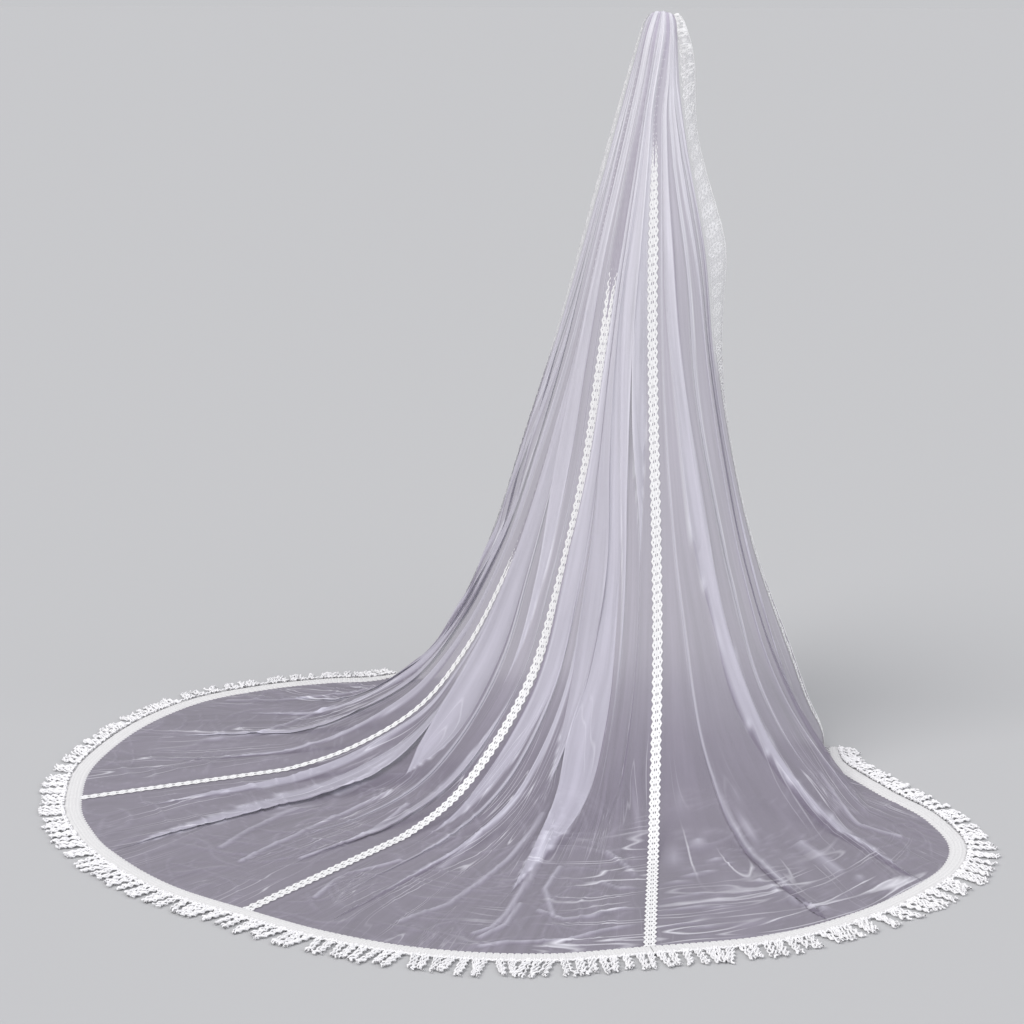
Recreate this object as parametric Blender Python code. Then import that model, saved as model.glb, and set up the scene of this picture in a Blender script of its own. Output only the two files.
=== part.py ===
"""Cathedral bridal veil of sheer tulle, in its worn form.

The veil hangs from a comb at the crown, spreads on the floor as a round train and is open at the front.
The wearer faces -Y, the train lies towards +Y, and the wearer's right is -X. The origin is the middle of the
comb, where the head holds the veil. Metres, +Z up.
"""

import math
import random

import bpy
import numpy as np

# Driving dimensions
CROWN_HEIGHT = 1.720
FLOOR = -CROWN_HEIGHT
GAP = 0.0003
GORES = 4
PLACES = 161

TULLE_THICK = 0.0012
BAND_WIDTH, BAND_THICK = 0.028, 0.0014
BAND_SHARE = 0.16
EDGING_WIDTH, EDGING_REPEAT = 0.050, 0.047
EDGING_SHARE = 0.30
BRAID_WIDTH, BRAID_THICK = 0.036, 0.0050
CORNER_TAPER, CORNER_SHARE = 0.12, 0.45
HEADING_WIDTH, HEADING_THICK = 0.008, 0.0034
LOCK_PITCH, LOCK_ROOT, LOCK_TIP = 0.0245, 0.0100, 0.0050
LOCK_STRAY, TIP_THICK = 0.006, 0.0026
LOCK_SHIFT, ROOT_SPREAD, TIP_SPREAD = 0.12, 0.15, 0.20
SHORTEST_LOCK = 0.93
TIP_HEIGHTS = (0.0008, 0.0015, 0.0040, 0.0080)

COMB_SPAN, COMB_BAR, COMB_DEPTH = 0.070, 0.0060, 0.0034
COMB_TEETH, TOOTH_WIDTH, TOOTH_LENGTH = 14, 0.0020, 0.038
TOOTH_FORWARD, TOOTH_DOWN = 0.55, 0.83
TOOTH_TIP_DEPTHS = (0.75, 0.25)
BINDING_SPAN, BINDING_DEPTH = 0.074, 0.0060
BINDING_LOW, BINDING_HIGH = -0.0040, 0.0036

# Heights above the floor at which the ribs' radii are given
RIB_HEIGHTS = (1.70, 1.60, 1.40, 1.20, 0.95, 0.70, 0.45, 0.25, 0.12, 0.04)

# One row for each rib: its place across the cloth in gores, how far it swings to the back below the shoulder,
# and its distance from the comb at each height
RIBS = (
    (0.00, 0.000, (0.016, 0.020, 0.058, 0.106, 0.134, 0.183, 0.253, 0.330, 0.378, 0.414)),  # right front edge
    (0.45, 0.010, (0.019, 0.034, 0.078, 0.124, 0.156, 0.215, 0.300, 0.410, 0.540, 0.670)),  # right side
    (1.00, 0.027, (0.024, 0.048, 0.100, 0.152, 0.212, 0.290, 0.390, 0.505, 0.640, 0.800)),  # right band
    (2.00, 0.000, (0.030, 0.060, 0.122, 0.187, 0.249, 0.312, 0.413, 0.524, 0.673, 0.819)),  # centre band
    (3.00, 0.000, (0.025, 0.047, 0.096, 0.144, 0.203, 0.279, 0.376, 0.488, 0.606, 0.768)),  # left band
    (3.55, 0.000, (0.023, 0.048, 0.098, 0.146, 0.208, 0.284, 0.360, 0.465, 0.570, 0.700)),  # left side
    (4.00, 0.000, (0.024, 0.057, 0.121, 0.180, 0.255, 0.340, 0.428, 0.518, 0.590, 0.660)),  # left front edge
)
SWING_HEIGHTS = (0.20, 1.15, 1.49, 1.74)

# The cloth rises from the comb, turns over and falls: distance behind the comb and height above it
CREST = ((0.0035, 0.0045), (0.0055, 0.0160), (0.0100, 0.0270), (0.0150, 0.0190))
EDGE_CREST = 0.5

# Shares of the way from a rib's last radius to the hem at which the cloth already lies on the floor
LYING_SHARES = (0.28, 0.62)

# The hem, where the tulle ends: its place across the cloth in gores, and x and y on the floor
HEM = (
    (0.00, -0.464, -0.081),
    (0.08, -0.530, 0.024),
    (0.20, -0.702, 0.141),
    (0.35, -0.880, 0.240),
    (0.45, -0.988, 0.350),
    (0.55, -1.036, 0.480),
    (0.65, -1.036, 0.630),
    (0.75, -1.010, 0.790),
    (0.90, -0.905, 1.035),
    (1.00, -0.764, 1.193),
    (1.25, -0.610, 1.350),
    (1.50, -0.415, 1.458),
    (1.75, -0.215, 1.506),
    (2.00, -0.014, 1.516),
    (2.25, 0.189, 1.514),
    (2.50, 0.383, 1.468),
    (2.75, 0.560, 1.390),
    (3.00, 0.741, 1.252),
    (3.12, 0.860, 1.115),
    (3.25, 0.957, 0.930),
    (3.40, 1.022, 0.715),
    (3.52, 1.030, 0.540),
    (3.65, 0.970, 0.368),
    (3.80, 0.875, 0.225),
    (3.92, 0.795, 0.142),
    (4.00, 0.764, 0.062),
)

# How far the fringe reaches past the hem, by gore
REACH = ((0.0, 0.070), (0.15, 0.094), (0.35, 0.098), (0.6, 0.118), (0.8, 0.110), (1.0, 0.120), (1.2, 0.128),
         (1.5, 0.122), (2.0, 0.110), (2.5, 0.108), (3.0, 0.100), (3.4, 0.085), (3.7, 0.090), (4.0, 0.075))

# Shares of a rib's length, from the comb to the hem, at which a wall has a row of points
ROWS = (0.0, 0.0075, 0.0165, 0.045, 0.105, 0.185, 0.27, 0.36, 0.45, 0.54, 0.62, 0.69, 0.77, 0.88, 1.0)
CREST_ROW = 2
FINE = 400

# One row for each soft fold of a gore: its share of the width, its height as a share of its width, and the
# share of the length at which it has died away on the floor
FOLDS = {
    "gore_right_side": (
        (1.1, 0.26, 0.86), (0.9, 0.34, 0.93), (1.3, 0.22, 0.88),
        (0.8, 0.30, 0.97), (1.2, 0.27, 0.90), (0.9, 0.24, 0.94),
    ),
    "gore_right_back": (
        (0.9, 0.30, 0.90), (1.3, 0.24, 0.95), (0.8, 0.34, 0.86), (1.2, 0.26, 0.92), (0.9, 0.28, 0.88),
    ),
    "gore_left_back": (
        (1.2, 0.27, 0.93), (0.8, 0.32, 0.87), (1.0, 0.24, 0.96), (1.3, 0.28, 0.89), (0.8, 0.30, 0.91),
    ),
    "gore_left_side": (
        (0.9, 0.28, 0.91), (1.2, 0.23, 0.87), (0.8, 0.32, 0.96),
        (1.1, 0.25, 0.89), (1.3, 0.22, 0.94), (0.8, 0.26, 0.85),
    ),
}
POINTS_PER_FOLD = 4
TALLEST_FOLD = 0.020
LYING_FOLD = 0.010
FOLD_FADE = 0.22
SETTLING_HEIGHT = 0.10
BANDS = ("band_right", "band_centre", "band_left")

TULLE_COLOUR = (0.80, 0.78, 0.86)
LACE_COLOUR = (0.93, 0.92, 0.93)
FRINGE_COLOUR = (0.90, 0.89, 0.90)
METAL_COLOUR = (0.75, 0.75, 0.77)


def clear_scene():
    for thing in list(bpy.data.objects):
        bpy.data.objects.remove(thing, do_unlink=True)


def material(name, colour, roughness, metallic=0.0):
    made = bpy.data.materials.new(name)
    made.use_nodes = True
    shader = made.node_tree.nodes["Principled BSDF"]
    shader.inputs["Base Color"].default_value = (*colour, 1.0)
    shader.inputs["Roughness"].default_value = roughness
    shader.inputs["Metallic"].default_value = metallic
    made.diffuse_color = (*colour, 1.0)
    return made


def add_solid(name, points, triangles, finish):
    mesh = bpy.data.meshes.new(name)
    mesh.from_pydata([tuple(map(float, p)) for p in points], [], [tuple(map(int, t)) for t in triangles])
    mesh.materials.append(finish)
    mesh.validate()
    made = bpy.data.objects.new(name, mesh)
    bpy.context.scene.collection.objects.link(made)
    return made


def smooth(knots, values, at):
    """A smooth curve through values at uneven knots, read at the places given."""
    knots = np.asarray(knots, float)
    values = np.asarray(values, float).reshape(len(knots), -1)
    step = np.diff(knots)[:, None]
    rise = np.diff(values, axis=0) / step
    slope = np.empty_like(values)
    slope[0] = rise[0]
    slope[-1] = rise[-1]
    slope[1:-1] = (rise[:-1] * step[1:] + rise[1:] * step[:-1]) / (step[:-1] + step[1:])
    at = np.clip(np.atleast_1d(at), knots[0], knots[-1])
    left = np.clip(np.searchsorted(knots, at, side="right") - 1, 0, len(knots) - 2)
    width = step[left]
    s = (at - knots[left])[:, None] / width
    return (
        values[left] * (1 + 2 * s) * (1 - s) ** 2
        + slope[left] * width * s * (1 - s) ** 2
        + values[left + 1] * s * s * (3 - 2 * s)
        + slope[left + 1] * width * s * s * (s - 1)
    )


def lengths(line):
    return np.concatenate([[0.0], np.cumsum(np.linalg.norm(np.diff(line, axis=0), axis=1))])


def along(line, at):
    """Points of a line at the given distances from its start."""
    run = lengths(line)
    return np.stack([np.interp(at, run, line[:, k]) for k in range(line.shape[1])], axis=1)


def rib(place):
    """The line of the cloth from the comb to the hem, at one place across it, as even shares of its length."""
    comb_x = COMB_SPAN * (place / GORES - 0.5)
    hem = smooth([row[0] for row in HEM], [row[1:] for row in HEM], place)[0]
    swing, *radii = smooth([row[0] for row in RIBS], [(row[1], *row[2]) for row in RIBS], place)[0]
    out = hem - (comb_x, 0.0)
    reach = math.hypot(*out)
    lying = FLOOR + TULLE_THICK / 2
    crest = 1 - (1 - EDGE_CREST) * (2 * place / GORES - 1) ** 2
    profile = [(r, CREST[0][1] + crest * (z - CREST[0][1])) for r, z in CREST]
    profile += [(r, FLOOR + h) for r, h in zip(radii, RIB_HEIGHTS)]
    profile += [(radii[-1] + share * (reach - radii[-1]), lying) for share in (*LYING_SHARES, 1.0)]
    profile = np.array(profile)
    fine = smooth(lengths(profile), profile, np.linspace(0, lengths(profile)[-1], FINE))
    fine[:, 1] = np.maximum(fine[:, 1], lying)
    fine = along(fine, np.linspace(0, lengths(fine)[-1], FINE))
    way = out / reach
    back = np.array([way[1], -way[0]]) * (1 if place < GORES / 2 else -1)
    low, full, falling, top = SWING_HEIGHTS
    height = fine[:, 1] - FLOOR
    swung = swing * smooth_step((height - low) / (full - low)) * smooth_step((top - height) / (top - falling))
    plan = np.outer(fine[:, 0], way) + np.outer(swung, back)
    return np.column_stack([comb_x + plan[:, 0], plan[:, 1], fine[:, 1]])


def sections():
    """The cloth's smooth form: for each row, the points of its section from front edge to front edge."""
    places = np.linspace(0.0, GORES, PLACES)
    ribs = np.array([rib(p) for p in places])
    shares = np.linspace(0, 1, ribs.shape[1])
    rows = [
        np.stack([[np.interp(t, shares, one[:, k]) for k in range(3)] for one in ribs]) for t in ROWS
    ]
    return places, np.array(rows)


def hem_distance():
    """How far each place across the cloth lies along the hem."""
    places, rows = sections()
    return places, lengths(rows[-1])


def fold_columns(name):
    """For each column between a gore's two flat margins: its share of the width, and its fold's row or None."""
    table = FOLDS[name]
    total = sum(row[0] for row in table)
    columns = []
    start = 0.0
    for row in table:
        share = row[0] / total
        for k in range(POINTS_PER_FOLD):
            columns.append((start + share * k / POINTS_PER_FOLD, k / POINTS_PER_FOLD, row, share))
        start += share
    return columns + [(1.0, 0.0, table[-1], table[-1][0] / total)]


def cloth_grid():
    """All columns of the tulle and its flat margins, row by row, and where each piece lies in them.

    Returns the points, the outward directions, and a dict from a piece's name to its first and last column.
    """
    places, rows = sections()
    whole = [lengths(row) for row in rows]
    spans = {}
    columns = [[] for _ in rows]
    heights = [[] for _ in rows]
    names = list(FOLDS)
    seam_index = [int(np.argmin(abs(places - g))) for g in range(GORES + 1)]
    count = 0
    for g, name in enumerate(names):
        first = count
        for j, run in enumerate(whole):
            begin, end = run[seam_index[g]], run[seam_index[g + 1]]
            width = end - begin
            edging = min(EDGING_WIDTH, EDGING_SHARE * width)
            margin = min(BAND_WIDTH / 2, BAND_SHARE * width)
            left = [begin, begin + edging, begin + edging + GAP] if g == 0 else [begin + GAP / 2]
            right = [end - edging - GAP, end - edging, end] if g == GORES - 1 else [end - GAP / 2]
            fold_from = left[-1] + margin
            fold_to = right[0] - margin
            at = list(left)
            lift = [0.0] * len(left)
            for share, phase, (_, depth, dies), fold_share in fold_columns(name):
                fold_width = fold_share * (fold_to - fold_from)
                tall = min(depth * fold_width, TALLEST_FOLD)
                point = fold_from + share * (fold_to - fold_from)
                lasting = np.interp(ROWS[j], (dies - FOLD_FADE, dies), (1.0, 0.0))
                wave = 0.5 - 0.5 * math.cos(2 * math.pi * phase)
                at.append(point)
                lift.append(tall * wave * lasting)
            at += right
            lift += [0.0] * len(right)
            columns[j].append(along(rows[j], at))
            heights[j].append(lift)
        count += len(at)
        spans[name] = [first, count - 1]
    points = np.array([np.concatenate(c) for c in columns])
    lift = np.array([np.concatenate(h) for h in heights])
    normal = outward(points)
    hanging = smooth_step((points[..., 2] - FLOOR) / SETTLING_HEIGHT)
    lift = np.minimum(lift, LYING_FOLD + (TALLEST_FOLD - LYING_FOLD) * hanging)
    points = points + normal * lift[..., None]
    normal = outward(points)
    spans["edging_right"] = [0, 1]
    spans["gore_right_side"][0] = 2
    last = points.shape[1] - 1
    spans["edging_left"] = [last - 1, last]
    spans["gore_left_side"][1] = last - 2
    normal[-1] = (0.0, 0.0, 1.0)
    normal[:, 2] = normal[:, 1]
    normal[:, last - 2] = normal[:, last - 1]
    for k, band in enumerate(BANDS):
        seam = spans[names[k]][1]
        spans[band] = [seam - 1, seam + 2]
        shared = normal[:, seam] + normal[:, seam + 1]
        shared /= np.linalg.norm(shared, axis=1, keepdims=True)
        normal[:, seam] = shared
        normal[:, seam + 1] = shared
    return points, normal, spans


def smooth_step(x):
    x = np.clip(x, 0, 1)
    return x * x * (3 - 2 * x)


def outward(points):
    """Unit directions out of the cloth, away from the wearer and up from the floor."""
    down = np.gradient(points, axis=0)
    across = np.gradient(points, axis=1)
    normal = np.cross(across, down)
    normal /= np.maximum(np.linalg.norm(normal, axis=2, keepdims=True), 1e-12)
    return normal


def wall(name, outer, inner, finish):
    """A closed wall between two grids of points that match, rows from top to bottom."""
    rows, cols = outer.shape[:2]
    points = np.concatenate([outer.reshape(-1, 3), inner.reshape(-1, 3)])
    base = rows * cols
    index = np.arange(base).reshape(rows, cols)
    triangles = []
    for j in range(rows - 1):
        for i in range(cols - 1):
            a, b, c, d = index[j, i], index[j, i + 1], index[j + 1, i + 1], index[j + 1, i]
            triangles += [(a, b, c), (a, c, d), (base + a, base + c, base + b), (base + a, base + d, base + c)]
    rim = list(index[0, :]) + list(index[1:, -1]) + list(index[-1, -2::-1]) + list(index[-2:0:-1, 0])
    for a, b in zip(rim, rim[1:] + rim[:1]):
        if a < b:
            triangles += [(b, a, base + b), (a, base + a, base + b)]
        else:
            triangles += [(b, a, base + a), (b, base + a, base + b)]
    return add_solid(name, points, triangles, finish)


def kept_off_floor(points):
    points = points.copy()
    points[..., 2] = np.maximum(points[..., 2], FLOOR)
    return points


def add_gores(points, normal, spans, finish):
    for name in FOLDS:
        first, last = spans[name]
        middle = points[:, first:last + 1]
        out = normal[:, first:last + 1] * TULLE_THICK / 2
        wall(name, middle + out, kept_off_floor(middle - out), finish)


def add_bands(points, normal, spans, finish):
    for name in BANDS:
        first, last = spans[name]
        middle = points[CREST_ROW:, first:last + 1]
        out = normal[CREST_ROW:, first:last + 1]
        under = middle + out * (TULLE_THICK / 2 + GAP)
        wall(name, under + out * BAND_THICK, under, finish)


def edging_half(flip):
    """One half repeat of the open edging: its points as (run, width) shares and its triangles on one face.

    The run goes from a low point of the scallop to its top, or back when flipped. Width 0 is at the tulle.
    """
    points = [(0, 0), (1, 0), (1, 1.0), (0.5, 0.965), (0, 0.86)]
    points += [(0.24, 0.60), (0.50, 0.42), (0.76, 0.62), (0.50, 0.82)]
    faces = [(0, 1, 6), (0, 6, 5), (1, 7, 6), (1, 2, 7), (2, 8, 7), (0, 5, 4), (4, 5, 8), (4, 8, 3), (3, 8, 2)]
    if flip:
        points = [(1 - run, width) for run, width in points]
        faces = [face[::-1] for face in faces]
    return points, faces


def scallop_marks(run):
    """Where each half repeat of the edging begins, with a whole number of them between two rows of points."""
    half = EDGING_REPEAT / 2
    counts = [max(1, round((b - a) / half)) for a, b in zip(run, run[1:])]
    if sum(counts) % 2:
        counts[-1] += 1
    marks = [0.0]
    for a, b, count in zip(run, run[1:], counts):
        marks += list(np.linspace(a, b, count + 1)[1:])
    return marks


def add_edging(name, points, normal, spans, finish):
    """The scalloped edging, with one opening cut through in each half repeat."""
    first, last = spans[name]
    right = name.endswith("right")
    outer_col, inner_col = (first, last) if right else (last, first)
    inner_line, outer_line = points[CREST_ROW:, inner_col], points[CREST_ROW:, outer_col]
    out_inner, out_outer = normal[CREST_ROW:, inner_col], normal[CREST_ROW:, outer_col]
    run = lengths(inner_line)
    marks = scallop_marks(run)
    place, found = [], {}
    faces = []

    def point_index(at, width):
        key = (round(at, 5), round(width, 4))
        if key not in found:
            found[key] = len(place)
            row = [np.interp(at, run, inner_line[:, k]) for k in range(3)]
            edge = [np.interp(at, run, outer_line[:, k]) for k in range(3)]
            out_a = [np.interp(at, run, out_inner[:, k]) for k in range(3)]
            out_b = [np.interp(at, run, out_outer[:, k]) for k in range(3)]
            middle = np.array(row) * (1 - width) + np.array(edge) * width
            out = np.array(out_a) * (1 - width) + np.array(out_b) * width
            place.append((middle, out / np.linalg.norm(out)))
        return found[key]

    for h, (start, end) in enumerate(zip(marks, marks[1:])):
        shape, tris = edging_half(h % 2 == 1)
        index = [point_index(start + share * (end - start), width) for share, width in shape]
        faces += [tuple(index[k] for k in tri) for tri in tris]
    edges = {pair for a, b, c in faces for pair in ((a, b), (b, c), (c, a))}
    rims = sorted(pair for pair in edges if pair[::-1] not in edges)
    middle = np.array([p for p, _ in place])
    out = np.array([n for _, n in place]) * TULLE_THICK / 2
    base = len(place)
    corners = np.concatenate([middle + out, kept_off_floor(middle - out)])
    triangles = []
    for a, b, c in faces:
        triangles += [(a, b, c), (base + a, base + c, base + b)]
    for a, b in rims:
        triangles += [(b, a, base + a), (b, base + a, base + b)]
    if not right:
        triangles = [tri[::-1] for tri in triangles]
    add_solid(name, corners, triangles, finish)


def hem_lines(points, spans):
    """For each gore: the hem's points, the directions out of it on the floor, and the place of each point."""
    places, run = hem_distance()
    hem = points[-1, :, :2]
    tangent = np.gradient(hem, axis=0)
    out = np.stack([-tangent[:, 1], tangent[:, 0]], axis=1)
    out /= np.linalg.norm(out, axis=1, keepdims=True)
    for name in list(FOLDS)[:-1]:
        seam = spans[name][1]
        shared = out[seam] + out[seam + 1]
        out[seam:seam + 2] = shared / np.linalg.norm(shared)
    found = {}
    distance = lengths(np.column_stack([hem, np.zeros(len(hem))]))
    place = np.interp(distance, run, places)
    for name in FOLDS:
        first, last = spans[name]
        if name == "gore_right_side":
            first = 0
        if name == "gore_left_side":
            last = len(hem) - 1
        keep = [k for k in range(first, last + 1) if k not in (1, len(hem) - 2)]
        found[name] = (hem[keep], out[keep], place[keep])
    return found


def strip_levels(line, out, near, far, low, high):
    """Four rows of points of a flat strip: near low, near high, far low, far high."""
    def level(distance, z):
        flat = line + out * np.reshape(distance, (-1, 1))
        return np.column_stack([flat, np.full(len(flat), z)])
    return level(near, low), level(near, high), level(far, low), level(far, high)


def braid_width(place):
    """The braid's width, which narrows towards the two front corners of the hem."""
    corner = np.minimum(place, GORES - place)
    return BRAID_WIDTH * np.interp(corner, (0, CORNER_TAPER), (CORNER_SHARE, 1.0))


def add_braid(name, line, out, place, finish):
    near_low, near_high, far_low, far_high = strip_levels(
        line, out, GAP, braid_width(place), FLOOR, FLOOR + BRAID_THICK
    )
    wall(name, np.stack([near_high, far_high]), np.stack([near_low, far_low]), finish)


def add_fringe(name, line, out, place, finish, seed):
    """A narrow heading outside the braid with locks of fringe that lie outwards from it."""
    chance = random.Random(seed)
    run = lengths(line)
    count = int(run[-1] / LOCK_PITCH)
    pitch = run[-1] / count
    locks = []
    for k in range(count):
        middle = (k + 0.5 + chance.uniform(-LOCK_SHIFT, LOCK_SHIFT)) * pitch
        half = LOCK_ROOT / 2 * chance.uniform(1 - ROOT_SPREAD, 1 + ROOT_SPREAD)
        locks.append((middle - half, middle + half))
    at_far = sorted([0.0, run[-1]] + [edge for lock in locks for edge in lock])
    at_near = list(run)

    def near(at):
        return braid_width(np.interp(at, run, place)) + GAP

    def spot(at, distance):
        base = np.array([np.interp(at, run, line[:, k]) for k in range(2)])
        way = np.array([np.interp(at, run, out[:, k]) for k in range(2)])
        return base + way * distance, way / np.linalg.norm(way)

    points, triangles = [], []

    def add(flat, z):
        points.append((flat[0], flat[1], z))
        return len(points) - 1

    low, high = FLOOR, FLOOR + HEADING_THICK
    near_low = [add(spot(a, near(a))[0], low) for a in at_near]
    near_high = [add(spot(a, near(a))[0], high) for a in at_near]
    far_low = [add(spot(a, near(a) + HEADING_WIDTH)[0], low) for a in at_far]
    far_high = [add(spot(a, near(a) + HEADING_WIDTH)[0], high) for a in at_far]
    i = k = 0
    while i < len(at_near) - 1 or k < len(at_far) - 1:
        step_near = k == len(at_far) - 1 or (i < len(at_near) - 1 and at_near[i + 1] <= at_far[k + 1])
        if step_near:
            triangles.append((near_high[i], near_high[i + 1], far_high[k]))
            triangles.append((near_low[i], far_low[k], near_low[i + 1]))
            triangles.append((near_low[i], near_low[i + 1], near_high[i + 1]))
            triangles.append((near_low[i], near_high[i + 1], near_high[i]))
            i += 1
        else:
            triangles.append((near_high[i], far_high[k + 1], far_high[k]))
            triangles.append((near_low[i], far_low[k], far_low[k + 1]))
            if k % 2 == 0:
                triangles.append((far_low[k], far_high[k], far_high[k + 1]))
                triangles.append((far_low[k], far_high[k + 1], far_low[k + 1]))
            k += 1
    triangles += [(near_low[0], near_high[0], far_high[0]), (near_low[0], far_high[0], far_low[0])]
    triangles += [(near_low[-1], far_high[-1], near_high[-1]), (near_low[-1], far_low[-1], far_high[-1])]
    for n, (start, end) in enumerate(locks):
        root = 2 * n + 1
        middle = (start + end) / 2
        where = np.interp(middle, run, place)
        reach = np.interp(where, *zip(*REACH)) * chance.uniform(SHORTEST_LOCK, 1.0)
        foot, way = spot(middle, reach)
        side = np.array([-way[1], way[0]])
        foot = foot + side * chance.uniform(-LOCK_STRAY, LOCK_STRAY)
        half = LOCK_TIP / 2 * chance.uniform(1 - TIP_SPREAD, 1 + TIP_SPREAD)
        tip_low = FLOOR + chance.choice(TIP_HEIGHTS)
        tip_high = tip_low + TIP_THICK
        a = add(foot + side * half, tip_low)
        b = add(foot - side * half, tip_low)
        c = add(foot - side * half, tip_high)
        d = add(foot + side * half, tip_high)
        ra, rb, rc, rd = far_low[root], far_low[root + 1], far_high[root + 1], far_high[root]
        for p, q, r, s in ((ra, rb, b, a), (rb, rc, c, b), (rc, rd, d, c), (rd, ra, a, d), (a, b, c, d)):
            triangles += [(p, r, q), (p, s, r)]
    add_solid(name, points, triangles, finish)


def add_comb(finish):
    """A bar with teeth that point forwards and down into the hair."""
    pitch = COMB_SPAN / COMB_TEETH
    edges = [-COMB_SPAN / 2]
    for k in range(COMB_TEETH):
        middle = -COMB_SPAN / 2 + (k + 0.5) * pitch
        edges += [middle - TOOTH_WIDTH / 2, middle + TOOTH_WIDTH / 2]
    edges.append(COMB_SPAN / 2)
    corners = ((-COMB_DEPTH, -COMB_BAR), (0.0, -COMB_BAR), (0.0, 0.0), (-COMB_DEPTH, 0.0))
    points = [(x, y, z) for x in edges for y, z in corners]
    faces = []
    for i in range(len(edges) - 1):
        a, b = 4 * i, 4 * (i + 1)
        for k in range(4):
            m = (k + 1) % 4
            if k == 0 and i % 2 == 1:
                continue
            faces.append((a + k, b + k, b + m, a + m))
    faces.append((0, 1, 2, 3))
    last = 4 * (len(edges) - 1)
    faces.append((last + 3, last + 2, last + 1, last))
    slope_y, slope_z = -TOOTH_FORWARD * TOOTH_LENGTH, -TOOTH_DOWN * TOOTH_LENGTH
    for k in range(COMB_TEETH):
        a, b = 4 * (2 * k + 1), 4 * (2 * k + 2)
        middle = (points[a][0] + points[b][0]) / 2
        base = len(points)
        for x in (middle - TOOTH_WIDTH / 4, middle + TOOTH_WIDTH / 4):
            for share in TOOTH_TIP_DEPTHS:
                points.append((x, slope_y - COMB_DEPTH * share, slope_z - COMB_BAR))
        n0, n1, f0, f1 = base, base + 1, base + 2, base + 3
        faces += [(a, n0, n1, a + 1), (b + 1, f1, f0, b), (a, b, f0, n0), (a + 1, n1, f1, b + 1)]
        faces.append((n0, f0, f1, n1))
    triangles = []
    for face in faces:
        triangles += [(face[0], face[k], face[k + 1]) for k in range(1, len(face) - 1)]
    add_solid("comb", points, [tri[::-1] for tri in triangles], finish)


def add_binding(finish):
    """The ribbon that holds the gathered edges behind the comb's bar."""
    x, front, back = BINDING_SPAN / 2, GAP, GAP + BINDING_DEPTH
    corners = ((-x, front), (x, front), (x, back), (-x, back))
    points = [(*corner, z) for z in (BINDING_LOW, BINDING_HIGH) for corner in corners]
    triangles = []
    for a, b, c, d in ((0, 3, 2, 1), (4, 5, 6, 7), (0, 1, 5, 4), (1, 2, 6, 5), (2, 3, 7, 6), (3, 0, 4, 7)):
        triangles += [(a, b, c), (a, c, d)]
    add_solid("gather_binding", points, triangles, finish)


def build():
    clear_scene()
    points, normal, spans = cloth_grid()
    add_gores(points, normal, spans, material("tulle", TULLE_COLOUR, 0.55))
    add_bands(points, normal, spans, material("galloon", LACE_COLOUR, 0.70))
    lace = material("edging_lace", LACE_COLOUR, 0.70)
    add_edging("edging_right", points, normal, spans, lace)
    add_edging("edging_left", points, normal, spans, lace)
    braid = material("hem_braid", LACE_COLOUR, 0.80)
    fringe = material("fringe", FRINGE_COLOUR, 0.75)
    for seed, (gore, (line, out, place)) in enumerate(hem_lines(points, spans).items()):
        part = gore.removeprefix("gore_")
        add_braid("hem_braid_" + part, line, out, place, braid)
        add_fringe("fringe_" + part, line, out, place, fringe, seed)
    add_comb(material("comb_metal", METAL_COLOUR, 0.30, 0.9))
    add_binding(material("ribbon", LACE_COLOUR, 0.50))


build()
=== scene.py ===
import math
import random

import bpy
import numpy as np
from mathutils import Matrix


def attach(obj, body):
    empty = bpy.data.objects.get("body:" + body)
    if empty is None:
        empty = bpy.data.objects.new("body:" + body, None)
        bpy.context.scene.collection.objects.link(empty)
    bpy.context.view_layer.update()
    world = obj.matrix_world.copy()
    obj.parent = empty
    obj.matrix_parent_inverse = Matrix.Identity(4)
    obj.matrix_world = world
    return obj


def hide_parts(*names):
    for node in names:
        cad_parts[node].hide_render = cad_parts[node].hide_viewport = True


# Bridal veil: tulle with soft pleats, lace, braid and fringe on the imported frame.
# The wearer faces -Y and the train lies towards +Y. Metres, +Z up, origin at the comb.

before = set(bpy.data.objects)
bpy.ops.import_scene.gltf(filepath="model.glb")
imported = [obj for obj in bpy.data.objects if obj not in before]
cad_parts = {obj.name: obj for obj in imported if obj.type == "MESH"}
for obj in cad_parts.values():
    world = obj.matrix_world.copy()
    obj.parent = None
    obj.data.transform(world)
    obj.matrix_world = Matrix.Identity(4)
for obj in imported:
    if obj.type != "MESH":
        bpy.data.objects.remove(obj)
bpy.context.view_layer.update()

# The cloth's form, as in the solids
CROWN_HEIGHT = 1.720
FLOOR = -CROWN_HEIGHT
COMB_SPAN = 0.070
TULLE_THICK = 0.0012
BAND_WIDTH, BAND_SHARE = 0.028, 0.16
EDGING_WIDTH, EDGING_SHARE, EDGING_REPEAT = 0.050, 0.30, 0.047
BRAID_WIDTH, BRAID_THICK = 0.036, 0.0050
CORNER_TAPER, CORNER_SHARE = 0.12, 0.45
GORES = 4
PLACES = 161
FINE = 400

RIB_HEIGHTS = (1.70, 1.60, 1.40, 1.20, 0.95, 0.70, 0.45, 0.25, 0.12, 0.04)
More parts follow.
